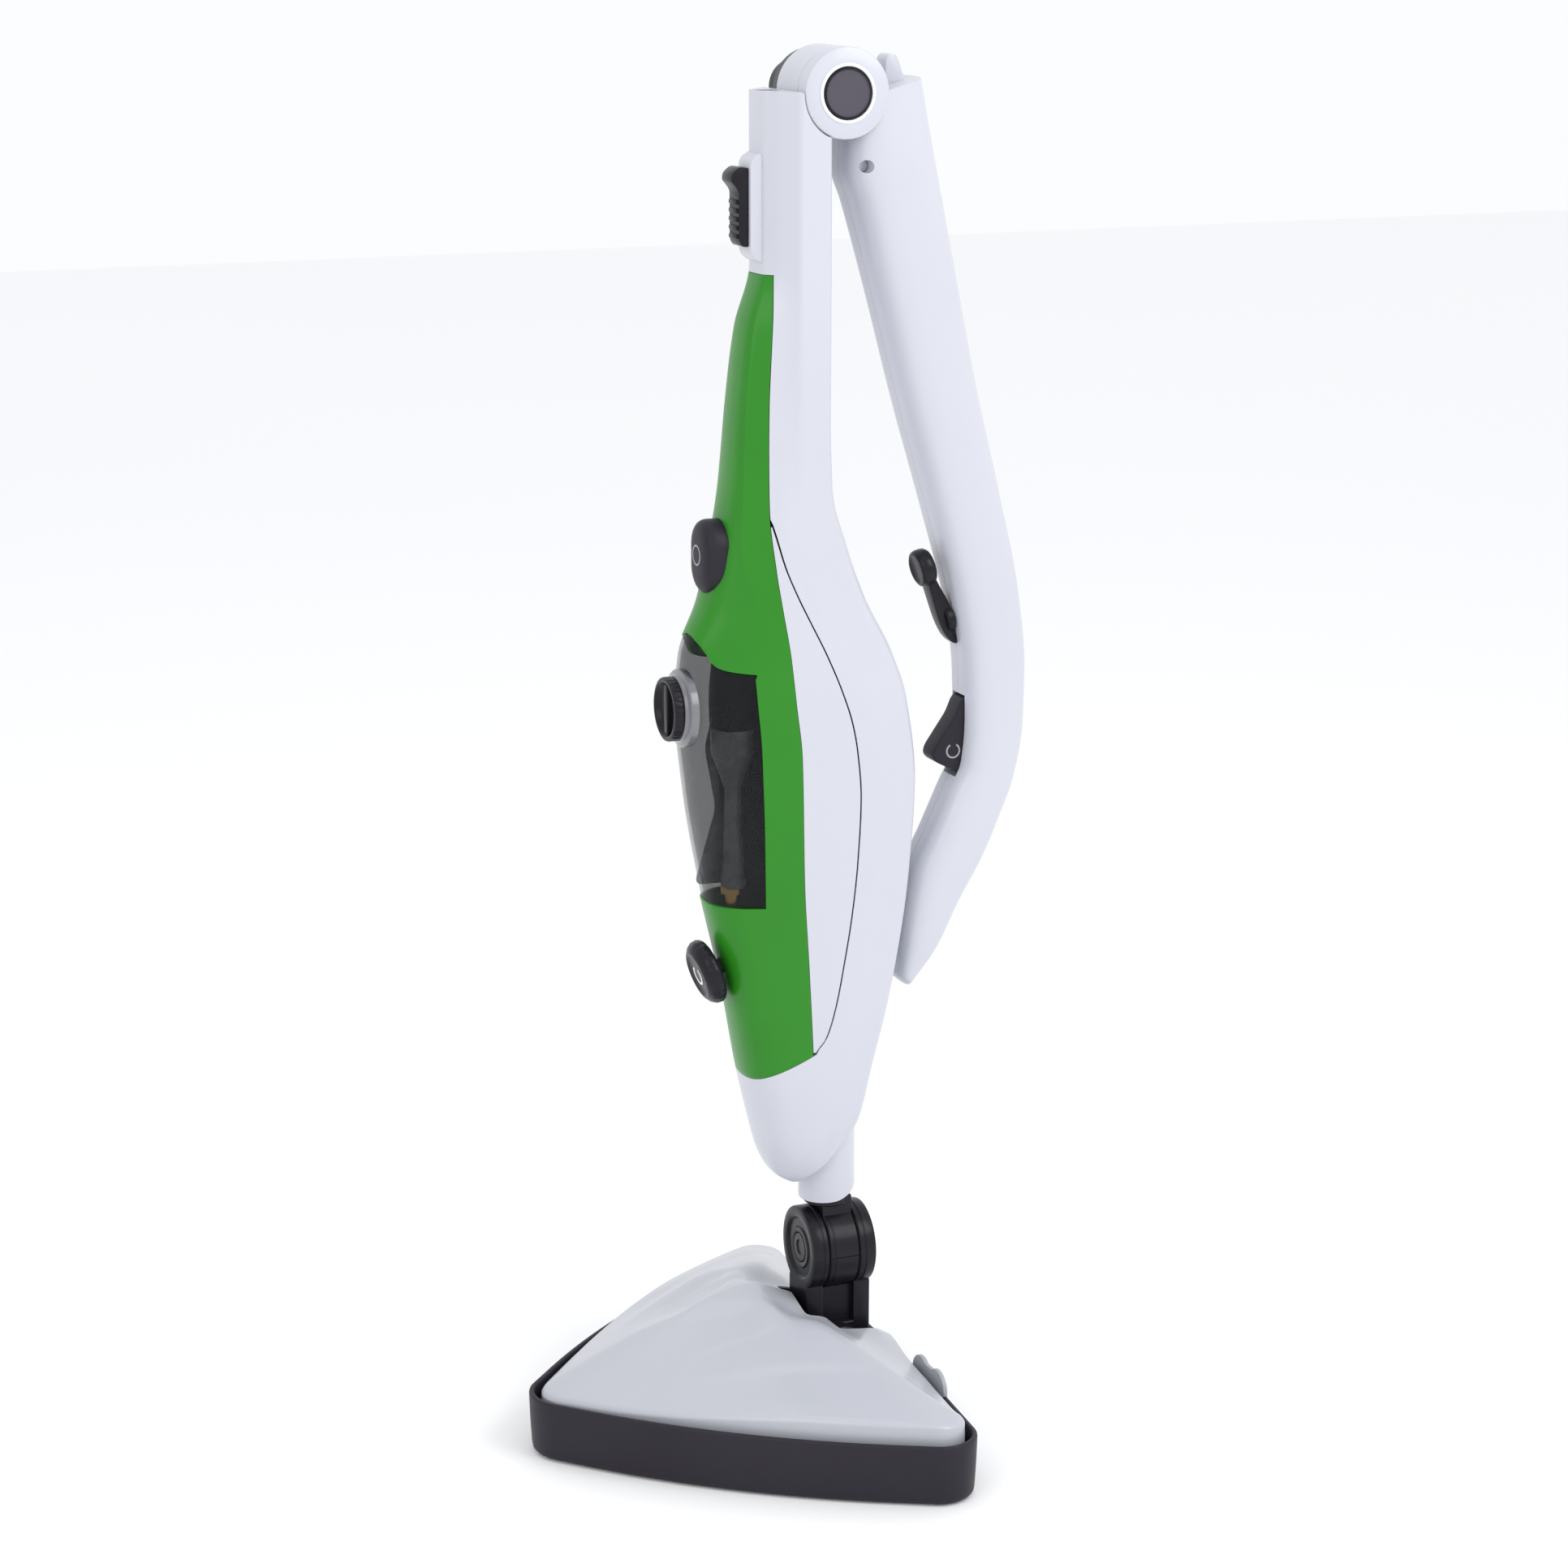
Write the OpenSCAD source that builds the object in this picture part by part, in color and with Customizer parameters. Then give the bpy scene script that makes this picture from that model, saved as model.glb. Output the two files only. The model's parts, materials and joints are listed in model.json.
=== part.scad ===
// Foldable steam mop standing in its carpet glider, handle folded down behind the body.
// X is the width, -Y the front, +Y the back, Z up. The floor is z = 0.

/* [Floor head] */
// Half of the width of the glider tray
tray_half = 142; // [138:1:150]
// Height of the tray rim
rim_z = 33; // [30:1:36]
// Thickness of the tray wall and floor
tray_wall = 3; // [2:0.2:3.4]
// Height of the tilt axis of the neck joint
tilt_z = 41; // [40:0.5:42]
// Half of the width of the slot in the head cover
slot_half = 22; // [20:0.5:24]

/* [Neck joint] */
// Radius of the barrel and ears
joint_r = 22.5; // [21:0.5:24]
// Height of the roll axis through the barrel
roll_z = 93; // [91:0.5:95]
// Width of the middle barrel, front to back
barrel_w = 16.6; // [15:0.2:17]
// Thickness of each ear
ear_t = 9.4; // [8:0.2:10]
// Outer radius of the neck tube
neck_r = 15; // [14.5:0.1:15.5]

/* [Body] */
// Wall of the plastic shells
wall = 2.4; // [2:0.1:3]
// Half of the width of the pole
pole_half = 25; // [24:0.5:26]
// Height of the flat top of the pole
pole_top = 701; // [700:0.5:702]
// Radius of the filler cap
cap_r = 16.5; // [15:0.5:18]
// Height of the filler cap
cap_z = 394; // [390:1:398]
// Height of the power button
button_z = 471; // [468:1:474]
// Height of the steam knob
knob_z = 255; // [252:1:258]
// Radius of the steam knob
knob_r = 17.5; // [16:0.5:18]

/* [Fold joint and handle] */
// Front-to-back place of the fold axis
hub_y = -2.5; // [-3:0.1:-2]
// Height of the fold axis
hub_z = 700; // [699:0.5:701]
// Radius of the hub
hub_r = 22.4; // [21:0.2:23]
// Half of the width of the middle hub barrel
hub_half = 14; // [12:0.5:15]
// Radius of the fold pin
pin_r = 5; // [4:0.1:6]

/* [Hidden] */
$fn = 48;

white = [0.9, 0.91, 0.95];
green = [0.26, 0.56, 0.18];
black = [0.14, 0.13, 0.16];
grey = [0.72, 0.73, 0.75];
smoke = [0.35, 0.36, 0.4, 0.6];
steel = [0.7, 0.71, 0.73];
brass = [0.8, 0.62, 0.28];

gap = 0.4;                       // running gap between pieces that move
hug = 0.15;                      // gap between shells that meet
far = 400;                       // larger than the body, for cutting tools
screw_r = 1.6;
joint_len = barrel_w + 2 * ear_t + 2 * gap;
knob_tilt = 18;                  // the panel leans under the knob
knob_y = -63;
cap_y = -83;
hose_x = 10;                     // the suction hose runs beside the valve
hose_r = 2.5;
outlet_y = -59;
bend_r = 8;                      // middle radius of a hose bend
feed_y = 8 - 2 * bend_r;         // where the feed hose enters the boiler
button_y = -66;

// ---------- outlines ----------

// mirrors a half outline, given from the front centre to the rear centre
function whole(half) = concat(half,
    [for (i = [len(half) - 2:-1:1]) [-half[i][0], half[i][1]]]);

// closed skin over a list of rings with equal point counts, lowest ring first
module skin(rings) {
    n = len(rings[0]);
    m = len(rings);
    sides = [for (j = [0:m - 2]) for (i = [0:n - 1])
        let (a = j * n + i, b = j * n + (i + 1) % n)
        each [[a, b + n, b], [a, a + n, b + n]]];
    low = [for (i = [1:n - 2]) [0, i, i + 1]];
    high = [for (i = [1:n - 2]) [(m - 1) * n, (m - 1) * n + i + 1, (m - 1) * n + i]];
    polyhedron([for (r = rings) for (p = r) p], concat(sides, low, high));
}

// a level ring
function level(z, pts) = [for (p = pts) [p[0], p[1], z]];

// a half outline of the body moved inward by d
function inset(half, d) = [for (i = [0:len(half) - 1])
    let (a = half[max(i - 1, 0)], b = half[min(i + 1, len(half) - 1)],
         e = [b[0] - a[0], b[1] - a[1]], l = norm(e),
         n = (i == 0) ? [0, -1] : (i == len(half) - 1) ? [0, 1] : [e[1], -e[0]] / l)
    [half[i][0] < 0.01 ? 0 : max(half[i][0] - n[0] * d, 0.5), half[i][1] - n[1] * d]];

// the body: height, then front centre, front crease, panel edge, seam,
// rear shoulder, rear crease and rear centre, each as [x, y]
BODY = [
    [133, [[0, -25], [7, -24.5], [11, -20], [13, -15], [11, -10], [6, -7], [0, -6]]],
    [138, [[0, -33], [9, -32], [15, -25], [17, -17], [15, -9], [9, -5], [0, -4]]],
    [150, [[0, -40], [11, -38.5], [19, -30], [22, -19], [20, -6], [13, -1], [0, 1]]],
    [167, [[0, -44.5], [13, -43], [22, -34], [25, -20], [24, -4], [19, 10], [0, 13]]],
    [196, [[0, -51], [14, -49.5], [24, -38], [28, -21], [28, -4], [22, 17], [0, 20]]],
    [240, [[0, -59], [14, -57], [25, -40], [30, -22], [30, 2], [24, 27], [0, 30]]],
    [300, [[0, -73], [14, -70.5], [26, -46], [31, -25], [31, 10], [25, 36], [0, 39]]],
    [350, [[0, -81.5], [14, -79], [26, -49], [31, -26], [31, 14], [25, 39.5], [0, 42]]],
    [395, [[0, -85.5], [14, -83], [26, -52], [31, -30], [31, 8], [25, 33], [0, 36]]],
    [420, [[0, -84], [14, -81], [26, -52], [30.5, -33], [30, 0], [25, 24.5], [0, 27]]],
    [448, [[0, -72.5], [15, -69.5], [25, -52], [29, -38], [29, -12], [25, 10], [0, 12]]],
    [475, [[0, -65.5], [18, -60], [24, -46], [28, -36], [28, -16], [25, 0], [0, 1.5]]],
    [505, [[0, -59.5], [17, -56], [21.5, -43], [25.5, -28], [25.5, -15], [24, -7], [0, -6.5]]],
    [547, [[0, -55.5], [14.5, -53], [19, -41.5], [25, -27], [25, -14], [23, -8.5], [0, -8]]],
    [585, [[0, -50.5], [13, -49], [18, -39], [25, -27], [25, -14], [23, -8.5], [0, -8]]],
    [616, [[0, -42], [9.5, -41.5], [16, -36], [25, -27], [25, -14], [23, -8.5], [0, -8]]],
    [pole_top, [[0, -42], [9.5, -41.5], [16, -36], [25, -27], [25, -14], [23, -8.5], [0, -8]]]
];

module body_solid() {
    skin([for (s = BODY) level(s[0], whole(s[1]))]);
}

module body_hollow() {
    last = len(BODY) - 1;
    skin([for (i = [1:last])
        level(BODY[i][0] + (i == 1 ? wall : i == last ? -wall : 0), whole(inset(BODY[i][1], wall)))]);
}

module body_shell() {
    difference() {
        body_solid();
        body_hollow();
    }
}

// side-view outline [y, z] cut right through the width
module side_cut(pts, half = 60) {
    rotate([90, 0, 90]) translate([0, 0, -half]) linear_extrude(2 * half) polygon(pts);
}

// seam between the side shells and the spine, from the top down
SEAM = [[-37, 468], [-30, 452], [-14, 421], [-6, 402], [0, 384],
    [4, 362], [5, 345], [3, 310], [-4, 256], [-12, 222], [-20, 204]];
// rear edge of the green panel, from the top down
EDGE = [[-38.5, 612], [-40.5, 578], [-42.5, 540], [-43, 492], [-40, 466], [-36.5, 446],
    [-32, 424], [-29, 395], [-26.5, 368], [-25.5, 300], [-23, 258], [-20, 204]];
// smoky window of the tank
WINDOW = [[-110, 436], [-80, 432], [-64, 420], [-53, 412], [-49, 396], [-47.5, 376],
    [-46.5, 340], [-46, 291], [-60, 288], [-110, 284]];

module front_region() {
    side_cut(concat([[-120, 612]], EDGE, [[-52, 193], [-120, 193]]));
}

module front_of_seam() {
    side_cut(concat([[-120, 612]], [for (i = [0:3]) EDGE[i]], SEAM, [[-52, 193], [-120, 193]]));
}

// ---------- floor head ----------

// half outline of the triangular tray, from the front tip to the rear centre
function arc(c, r, a0, a1, n) = [for (i = [0:n]) let (a = a0 + (a1 - a0) * i / n)
    [c[0] + r * cos(a), c[1] + r * sin(a)]];

// the long edge bows out between the tangent points of the two corner rounds
function head_half(d) = let (
        tip = [0, -145], corner = [tray_half - 20, 9],
        u = (corner - tip) / norm(corner - tip), n = [u[1], -u[0]],
        a = tip + n * (24 - d), b = corner + n * (20 - d))
    concat([[0, tip[1] - 24 + d]], arc(tip, 24 - d, -76, -52, 2),
        [for (t = [0.17, 0.33, 0.5, 0.67, 0.83]) a + (b - a) * t + n * 40 * t * (1 - t)],
        arc(corner, 20 - d, -28, 84, 5), [[tray_half / 2, 32.6 - d], [0, 34 - d]]);

module head_block(d, z0, z1) {
    skin([level(z0, whole(head_half(d))), level(z1, whole(head_half(d)))]);
}

module glider_tray() {
    color(black) difference() {
        skin([level(0, whole(head_half(6))), level(2.5, whole(head_half(1.5))),
            level(rim_z, whole(head_half(0)))]);
        head_block(tray_wall, tray_wall, rim_z + 1);
        for (x = [-1, 1]) translate([x * clip_x, clip_y, 0]) {
            translate([-clip_half - gap, -8, 9]) cube([2 * (clip_half + gap), 16, 40]);
            translate([0, 0, clip_z]) rotate([0, 90, 0]) cylinder(r = 1.06, h = 2 * clip_half + 5, center = true);
        }
    }
}

clip_x = 63;                     // the two clips sit in notches of the rear wall
clip_y = 31;
clip_z = 12;
clip_half = 20;

module clip(side) {
    translate([side * clip_x, clip_y, 0]) difference() {
        union() {
            rotate([90, 0, 0]) linear_extrude(2.4, center = true) union() {
                translate([-clip_half, clip_z]) square([2 * clip_half, 16]);
                translate([-10, 34]) circle(10);
                translate([10, 34]) circle(10);
                translate([-clip_half, 26]) square([2 * clip_half, 8]);
            }
            translate([0, 0, clip_z]) rotate([0, 90, 0]) cylinder(r = 2.2, h = 2 * clip_half, center = true);
            translate([0, 0, clip_z]) rotate([0, 90, 0]) cylinder(r = 1, h = 2 * clip_half + 4, center = true);
        }
        for (x = [-10, 10]) translate([x, 1.2, 34]) rotate([90, 0, 0]) cylinder(r = 5.5, h = 1.2, center = true);
    }
}

module glider_clip_right() { color(grey) clip(1); }
module glider_clip_left() { color(grey) clip(-1); }

peak = [0, -44];                  // place of the top of the dome
peak_z = 78;

// one ring of the dome: s = 1 at the skirt and 0 at the peak
function dome_ring(s, d) = [for (p = whole(head_half(6.5 + d)))
    let (back = max(p[1] - peak[1], 0) / 78,
         rise = (peak_z - d - 40) * (1 - pow(s, 1.25)),
         q = peak + (p - peak) * s,
         drop = 8 * back * (1 - s) * s * 2)
    [q[0], q[1], 40 + rise - drop]];

module dome(d) {
    skin(concat([level(d > 0 ? 4 : 8, whole(head_half(6 + d))), level(34, whole(head_half(5.5 + d)))],
        [for (s = [1, 0.88, 0.74, 0.6, 0.46, 0.32, 0.18, 0.08]) dome_ring(s, d)]));
}

module yoke_slot(half) {
    translate([-half, -29, 16]) cube([2 * half, 50, 100]);
    translate([-half, 20, 29]) cube([2 * half, 20, 100]);
}

module head_cover() {
    color(white) difference() {
        dome(0);
        dome(wall);
        yoke_slot(slot_half);
    }
    color(white) difference() {
        intersection() {
            dome(0);
            for (p = HEAD_POSTS) translate([p[0], p[1], 12.2]) cylinder(r = 4, h = 80);
        }
        for (p = HEAD_POSTS) translate([p[0], p[1], 8]) cylinder(r = screw_r + 0.02, h = 20);
    }
}

HEAD_POSTS = [[0, -125], [92, 0], [-92, 0]];

module head_base() {
    color(black) difference() {
        union() {
            head_block(10, 8.6, 12);
            for (x = [-1, 1]) translate([x * 26.5, 0, 0]) {
                translate([-6, -8, 10]) cube([12, 16, tilt_z - 10]);
                translate([0, 0, tilt_z]) rotate([0, 90, 0]) cylinder(r = 8, h = 12, center = true);
            }
            translate([0, -80, 10]) cylinder(r = 12, h = 14);
        }
        translate([0, 0, tilt_z]) rotate([0, 90, 0]) cylinder(r = 4.02, h = 90, center = true);
        translate([0, -80, 5]) cylinder(r = 6.02, h = 30);
        for (p = HEAD_POSTS) translate([p[0], p[1], 0]) cylinder(r = screw_r + 0.2, h = 30);
    }
}

module sole_plate() {
    color(steel) difference() {
        head_block(8.5, 3.5, 8.5);
        for (row = [0:2]) for (k = [-2:2])
            translate([k * (14 + row * 8), -110 + row * 40, 2]) cylinder(r = 1.5, h = 8);
        for (p = HEAD_POSTS) translate([p[0], p[1], 3]) {
            cylinder(r = screw_r + 0.2, h = 10);
            translate([0, 0, -1]) cylinder(r = 3.4, h = 3.4);
        }
    }
}

module steam_nozzle() {
    color(brass) translate([0, -80, 0]) difference() {
        union() {
            translate([0, 0, 8.7]) cylinder(r = 6, h = 19);
            translate([0, 0, 24]) cylinder(r = 8, h = 4);
            translate([0, 0, 27]) cylinder(r = 3.5, h = 12);
        }
        translate([0, 0, 8]) cylinder(r = 2, h = 40);
    }
}

module head_pin() {
    color(steel) translate([0, 0, tilt_z]) rotate([0, 90, 0]) cylinder(r = 4, h = 64, center = true);
}

module head_screws() {
    color(steel) for (p = HEAD_POSTS) translate([p[0], p[1], 3.7]) {
        cylinder(r = 3.2, h = 1.6);
        cylinder(r = screw_r, h = 20);
    }
}

// ---------- neck joint ----------

module along_y(y, z) {
    translate([0, y, z]) rotate([90, 0, 0]) children();
}

module joint_yoke() {
    ear_y = barrel_w / 2 + gap + ear_t / 2;
    color(black) difference() {
        union() {
            for (s = [-1, 1]) {
                along_y(s * ear_y, roll_z) cylinder(r = joint_r, h = ear_t, center = true);
                translate([-12.5, s * ear_y - ear_t / 2, tilt_z]) cube([25, ear_t, roll_z - tilt_z]);
            }
            translate([0, 0, tilt_z]) rotate([0, 90, 0]) cylinder(r = 11, h = 40, center = true);
            translate([-12.5, -joint_len / 2, tilt_z - 6]) cube([25, joint_len, 14]);
        }
        translate([0, 0, tilt_z]) rotate([0, 90, 0]) cylinder(r = 4.06, h = 80, center = true);
        along_y(0, roll_z) cylinder(r = 4.02, h = 60, center = true);
        for (s = [-1, 1]) along_y(s * (joint_len / 2 - 1.5), roll_z) cylinder(r = 8.2, h = 3.2, center = true);
        along_y(0, roll_z) cylinder(r = joint_r + gap, h = barrel_w + 2 * gap, center = true);
    }
}

module joint_barrel() {
    color(black) difference() {
        union() {
            along_y(0, roll_z) cylinder(r = joint_r, h = barrel_w, center = true);
            translate([-10.5, -barrel_w / 2, roll_z]) cube([21, barrel_w, 30]);
            translate([0, -2, 118]) cylinder(r = neck_r - 2.6, h = 42);
        }
        along_y(0, roll_z) cylinder(r = 4.06, h = 60, center = true);
        translate([0, -2, 117]) cylinder(r = 4.5, h = 50);
    }
}

module joint_bolt() {
    color(steel) {
        along_y(0, roll_z) cylinder(r = 4, h = joint_len - 2, center = true);
        for (s = [-1, 1]) along_y(s * (joint_len / 2 - 1.6), roll_z) cylinder(r = 8, h = 2.4, center = true);
    }
}

module neck_tube() {
    color(white) difference() {
        union() {
            translate([0, -2, 120]) cylinder(r = neck_r, h = 46);
        }
        translate([0, -2, 110]) cylinder(r = neck_r - 2.5, h = 70);
        // the lower rim rises toward the back
        side_cut([[-30, 100], [30, 100], [30, 130], [13, 128], [-3, 121.5], [-30, 120.5]]);
    }
}

// ---------- body ----------

module hub_pocket(r, half) {
    translate([0, hub_y, hub_z]) rotate([0, 90, 0]) cylinder(r = r, h = 2 * half, center = true);
}

module main_frame() {
    color(white) difference() {
        union() {
            body_shell();
            // boss under the release slider
            side_cut([[-40, 676], [-46, 669], [-47.5, 660], [-47.5, 626], [-43, 614], [-40, 614]], 8.5);
            // shelf under the slider spring
            translate([-8, -40.5, 621]) cube([16, 9, 5]);
        }
        front_of_seam();
        hub_pocket(hub_r + gap + 0.3, 40);
        // slot that takes the tongue of the handle
        translate([-7.5, -39, 684]) cube([15, 13, 30]);
        // guide of the release slider
        translate([-4.2, -60, 630]) cube([8.4, 25, 32]);
        translate([0, -2, 100]) cylinder(r = neck_r + 0.1, h = 66.2);
        cord_bore();
        steam_way();
        for (p = FRAME_SCREWS) frame_screw_hole(p);
    }
}

module steam_way() {
    translate([0, -2, 160]) cylinder(r = 5, h = 30);
}

GLAND_Z = 186;
module cord_bore() {
    translate([0, 25, GLAND_Z]) rotate([90, 0, 0]) cylinder(r = 7.5, h = 30, center = true);
}

FRAME_SCREWS = [[10, 320], [10, 250], [-14, 520], [-14, 580]];
module frame_screw_hole(p) {
    translate([-20, p[0], p[1]]) rotate([0, -90, 0]) cylinder(r = 2.7, h = 30);
}

module frame_screws() {
    color(steel) for (p = FRAME_SCREWS) translate([5 - frame_x(p), p[0], p[1]]) rotate([0, -90, 0]) {
        cylinder(r = 2.5, h = 3);
        translate([0, 0, -8]) cylinder(r = screw_r, h = 8.5);
    }
}
function frame_x(p) = p[1] > 400 ? pole_half : 30.5;

module side_shells() {
    difference() {
        intersection() {
            body_shell();
            translate([0, -hug, 0]) front_of_seam();
        }
        front_region();
        translate([-60, -100, 486]) cube([120, 100, 200]);
    }
}

module side_shell_right() {
    color(white) intersection() {
        side_shells();
        translate([0.2, -200, 0]) cube([100, far, 800]);
    }
}

module side_shell_left() {
    color(white) intersection() {
        side_shells();
        translate([-100.2, -200, 0]) cube([100, far, 800]);
    }
}

module front_panel() {
    color(green) difference() {
        intersection() {
            body_shell();
            translate([0, -hug, 0]) front_region();
        }
        side_cut(WINDOW);
        along_y(button_y, button_z) oval(14.6, 5, 40);
        translate([0, knob_y, knob_z]) rotate([90 + knob_tilt, 0, 0]) cylinder(r = 6, h = 60, center = true);
    }
}

// upright rounded slot shape
module oval(r, rise, h) {
    linear_extrude(h, center = true) union() {
        for (s = [-1, 1]) translate([0, s * rise]) circle(r);
        square([2 * r, 2 * rise], center = true);
    }
}

module tank_body(d) {
    intersection() {
        skin([for (s = BODY) if (s[0] > 200 && s[0] < 500) level(s[0], whole(inset(s[1], 0.02 + d)))]);
        side_cut([for (p = WINDOW) p + [-hug, p[1] > cap_z ? -hug : hug]]);
    }
}

module water_tank() {
    color(smoke) difference() {
        union() {
            tank_body(0);
            along_y(cap_y - 0.8, cap_z) cylinder(r = 20, h = 5, center = true);
        }
        intersection() {
            skin([for (s = BODY) if (s[0] > 200 && s[0] < 500) level(s[0], whole(inset(s[1], 2.2)))]);
            side_cut([[-108, 430], [-82, 428], [-66, 417], [-56, 409], [-51.5, 395], [-50, 376],
                [-49, 340], [-48.5, 293.5], [-62, 290.5], [-108, 287]]);
        }
        along_y(cap_y, cap_z) cylinder(r = 13.3, h = 16, center = true);
        translate([hose_x, outlet_y, 278]) cylinder(r = 4.02, h = 20);
    }
}

module tank_cap() {
    color(black) {
        along_y(cap_y - 6.3, cap_z) cylinder(r = cap_r, h = 5, center = true);
        along_y(cap_y - 0.2, cap_z) difference() {
            cylinder(r = 12.9, h = 8, center = true);
            translate([0, 0, -1.4]) difference() {
                cylinder(r = 14, h = 2, center = true);
                cylinder(r = 11.4, h = 3, center = true);
            }
        }
    }
}

module tank_seal() {
    color(black) along_y(cap_y + 1.2, cap_z) rotate_extrude() translate([12.2, 0]) square([1, 1.6], center = true);
}

module tank_outlet() {
    color(brass) translate([hose_x, outlet_y, 0]) difference() {
        union() {
            translate([0, 0, 278]) cylinder(r = 4, h = 22);
            translate([0, 0, 297]) cylinder(r = 6, h = 4);
        }
        translate([0, 0, 277]) cylinder(r = 1.3, h = 30);
        translate([0, 0, 277]) cylinder(r = hose_r + 0.02, h = 7);
    }
}

module power_button() {
    color(black) along_y(button_y - 1.5, button_z) difference() {
        union() {
            oval(14, 5, 14);
            translate([0, 0, -3]) oval(12, 4, 12);
        }
        translate([0, 0, -7]) oval(9, 3, 8);
    }
    color(black) along_y(button_y + 3.4, button_z) cylinder(r = 2, h = 8, center = true);
}

module button_spring() {
    color(steel) along_y(button_y + 8, button_z) for (k = [0:3]) translate([0, 0, k * 1.6 - 5])
        rotate_extrude() translate([4, 0]) circle(0.5, $fn = 16);
    color(steel) along_y(button_y + 8, button_z) translate([4, 0, -2.6]) cylinder(r = 0.35, h = 4.8, center = true);
}

module button_switch() {
    color(black) translate([-6, button_y + 14, button_z - 8]) cube([12, 5, 16]);
    color(black) along_y(button_y + 13, button_z) cylinder(r = 2, h = 4, center = true);
}

module at_knob() {
    translate([0, knob_y, knob_z]) rotate([90 + knob_tilt, 0, 0]) children();
}

module steam_knob() {
    color(black) at_knob() {
        translate([0, 0, 3]) cylinder(r = knob_r, h = 9);
        translate([-2.5, -knob_r + 1, 11]) cube([5, 2 * knob_r - 2, 3]);
        translate([0, 0, -14]) cylinder(r = 4, h = 18);
    }
}

module steam_valve() {
    color(brass) at_knob() difference() {
        translate([0, 0, -30]) cylinder(r = 7.2, h = 25);
        translate([0, 0, -16]) cylinder(r = 4.06, h = 20);
    }
}

module boiler() {
    color(steel) translate([0, -2, 0]) difference() {
        union() {
            translate([0, 0, 210]) cylinder(r = 16, h = 66);
            translate([0, 0, 204]) cylinder(r = 8, h = 8);
            translate([0, feed_y + 2, 274]) cylinder(r = 6, h = 6);
        }
        translate([0, 0, 216]) cylinder(r = 10, h = 54);
        translate([0, 0, 200]) cylinder(r = 4.02, h = 20);
        translate([0, feed_y + 2, 265]) cylinder(r = hose_r + 0.02, h = 20);
    }
}

module thermostat() {
    color(brass) translate([0, 14.2, 245]) rotate([-90, 0, 0]) {
        cylinder(r = 7, h = 4);
        translate([0, 0, 4]) cylinder(r = 4, h = 3);
    }
}

module pump() {
    color(black) translate([0, 8, 330]) difference() {
        union() {
            cylinder(r = 15, h = 36);
            translate([0, 0, 36]) cylinder(r = 10, h = 14);
            translate([-12, -12, 5]) cube([24, 24, 26]);
            translate([0, 0, -8]) cylinder(r = 4.5, h = 9);
            translate([hose_x, -8, 20]) rotate([90, 0, 0]) cylinder(r = 4.5, h = 10);
        }
        translate([0, 0, -9]) cylinder(r = hose_r + 0.02, h = 20);
        translate([hose_x, -10, 20]) rotate([90, 0, 0]) cylinder(r = hose_r + 0.02, h = 12);
    }
}

module control_board() {
    color(green) translate([-12, -40, 432]) cube([24, 1.6, 62]);
    color(black) translate([-8, -38.4, 442]) cube([16, 8, 12]);
    color(black) translate([-6, -38.4, 470]) cube([12, 5, 10]);
}

// quarter bend of a round hose in the side view, about [y, z], from angle a0
module bend(c, a0, r) {
    rotate([90, 0, 90]) translate([c[0], c[1], 0]) rotate([0, 0, a0])
        rotate_extrude(angle = 90) translate([bend_r, 0]) circle(r, $fn = 32);
}

module suction_run(r, over) {
    translate([hose_x, 0, 0]) {
        translate([0, outlet_y, 272]) cylinder(r = r, h = 11 + over);
        bend([outlet_y + bend_r, 272], 180, r);
        along_y(-32, 272 - bend_r) cylinder(r = r, h = -32 - outlet_y - bend_r);
        bend([-32, 272], 270, r);
        translate([0, -32 + bend_r, 272]) cylinder(r = r, h = 70);
        bend([-16, 342], 90, r);
        along_y(-5 + over, 350) cylinder(r = r, h = 11 + over);
    }
}

module suction_hose() {
    color(grey) difference() {
        suction_run(hose_r, 0);
        suction_run(1.3, 1);
    }
}

module feed_run(r, over) {
    translate([0, 8, 307]) cylinder(r = r, h = 18 + over);
    bend([8 - bend_r, 307], 270, r);
    bend([8 - bend_r, 307 - 2 * bend_r], 90, r);
    translate([0, feed_y, 277 - over]) cylinder(r = r, h = 14.01 + over);
}

module feed_hose() {
    color(grey) difference() {
        feed_run(hose_r, 0);
        feed_run(1.3, 1);
    }
}

module steam_pipe() {
    color(steel) translate([0, -2, 0]) difference() {
        translate([0, 0, 121]) cylinder(r = 4, h = 95);
        translate([0, 0, 120]) cylinder(r = 2.6, h = 100);
    }
}

module cord_gland() {
    color(black) translate([0, 0, GLAND_Z]) rotate([-90, 0, 0]) difference() {
        union() {
            translate([0, 0, 8]) cylinder(r = 9, h = 2.5);
            translate([0, 0, 8]) cylinder(r = 7.3, h = 9.5);
            translate([0, 0, 17.5]) cylinder(r1 = 7.3, r2 = 6, h = 1.5);
        }
        cylinder(r = 3.7, h = 40);
    }
}

module release_slider() {
    color(black) {
        side_cut([[-47.9, 664], [-52.5, 664.5], [-56.5, 661], [-57, 657.5], [-52.8, 653],
            [-52.8, 628], [-51, 625.5], [-47.9, 625.5]], 6.5);
        for (k = [0:4]) translate([-5, -53.6, 630 + k * 4.6]) cube([10, 1.6, 2]);
        translate([-3.6, -48.5, 638]) cube([7.2, 11, 18]);
        translate([-6.5, -38.6, 638]) cube([13, 3, 18]);
    }
}

module slider_spring() {
    color(steel) translate([0, -35, 628]) {
        for (k = [0:4]) translate([0, 0, k * 1.9]) rotate_extrude() translate([2.5, 0]) circle(0.4, $fn = 16);
        translate([2.5, 0, 0]) cylinder(r = 0.3, h = 7.6);
    }
}

// ---------- fold joint and handle ----------

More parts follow.
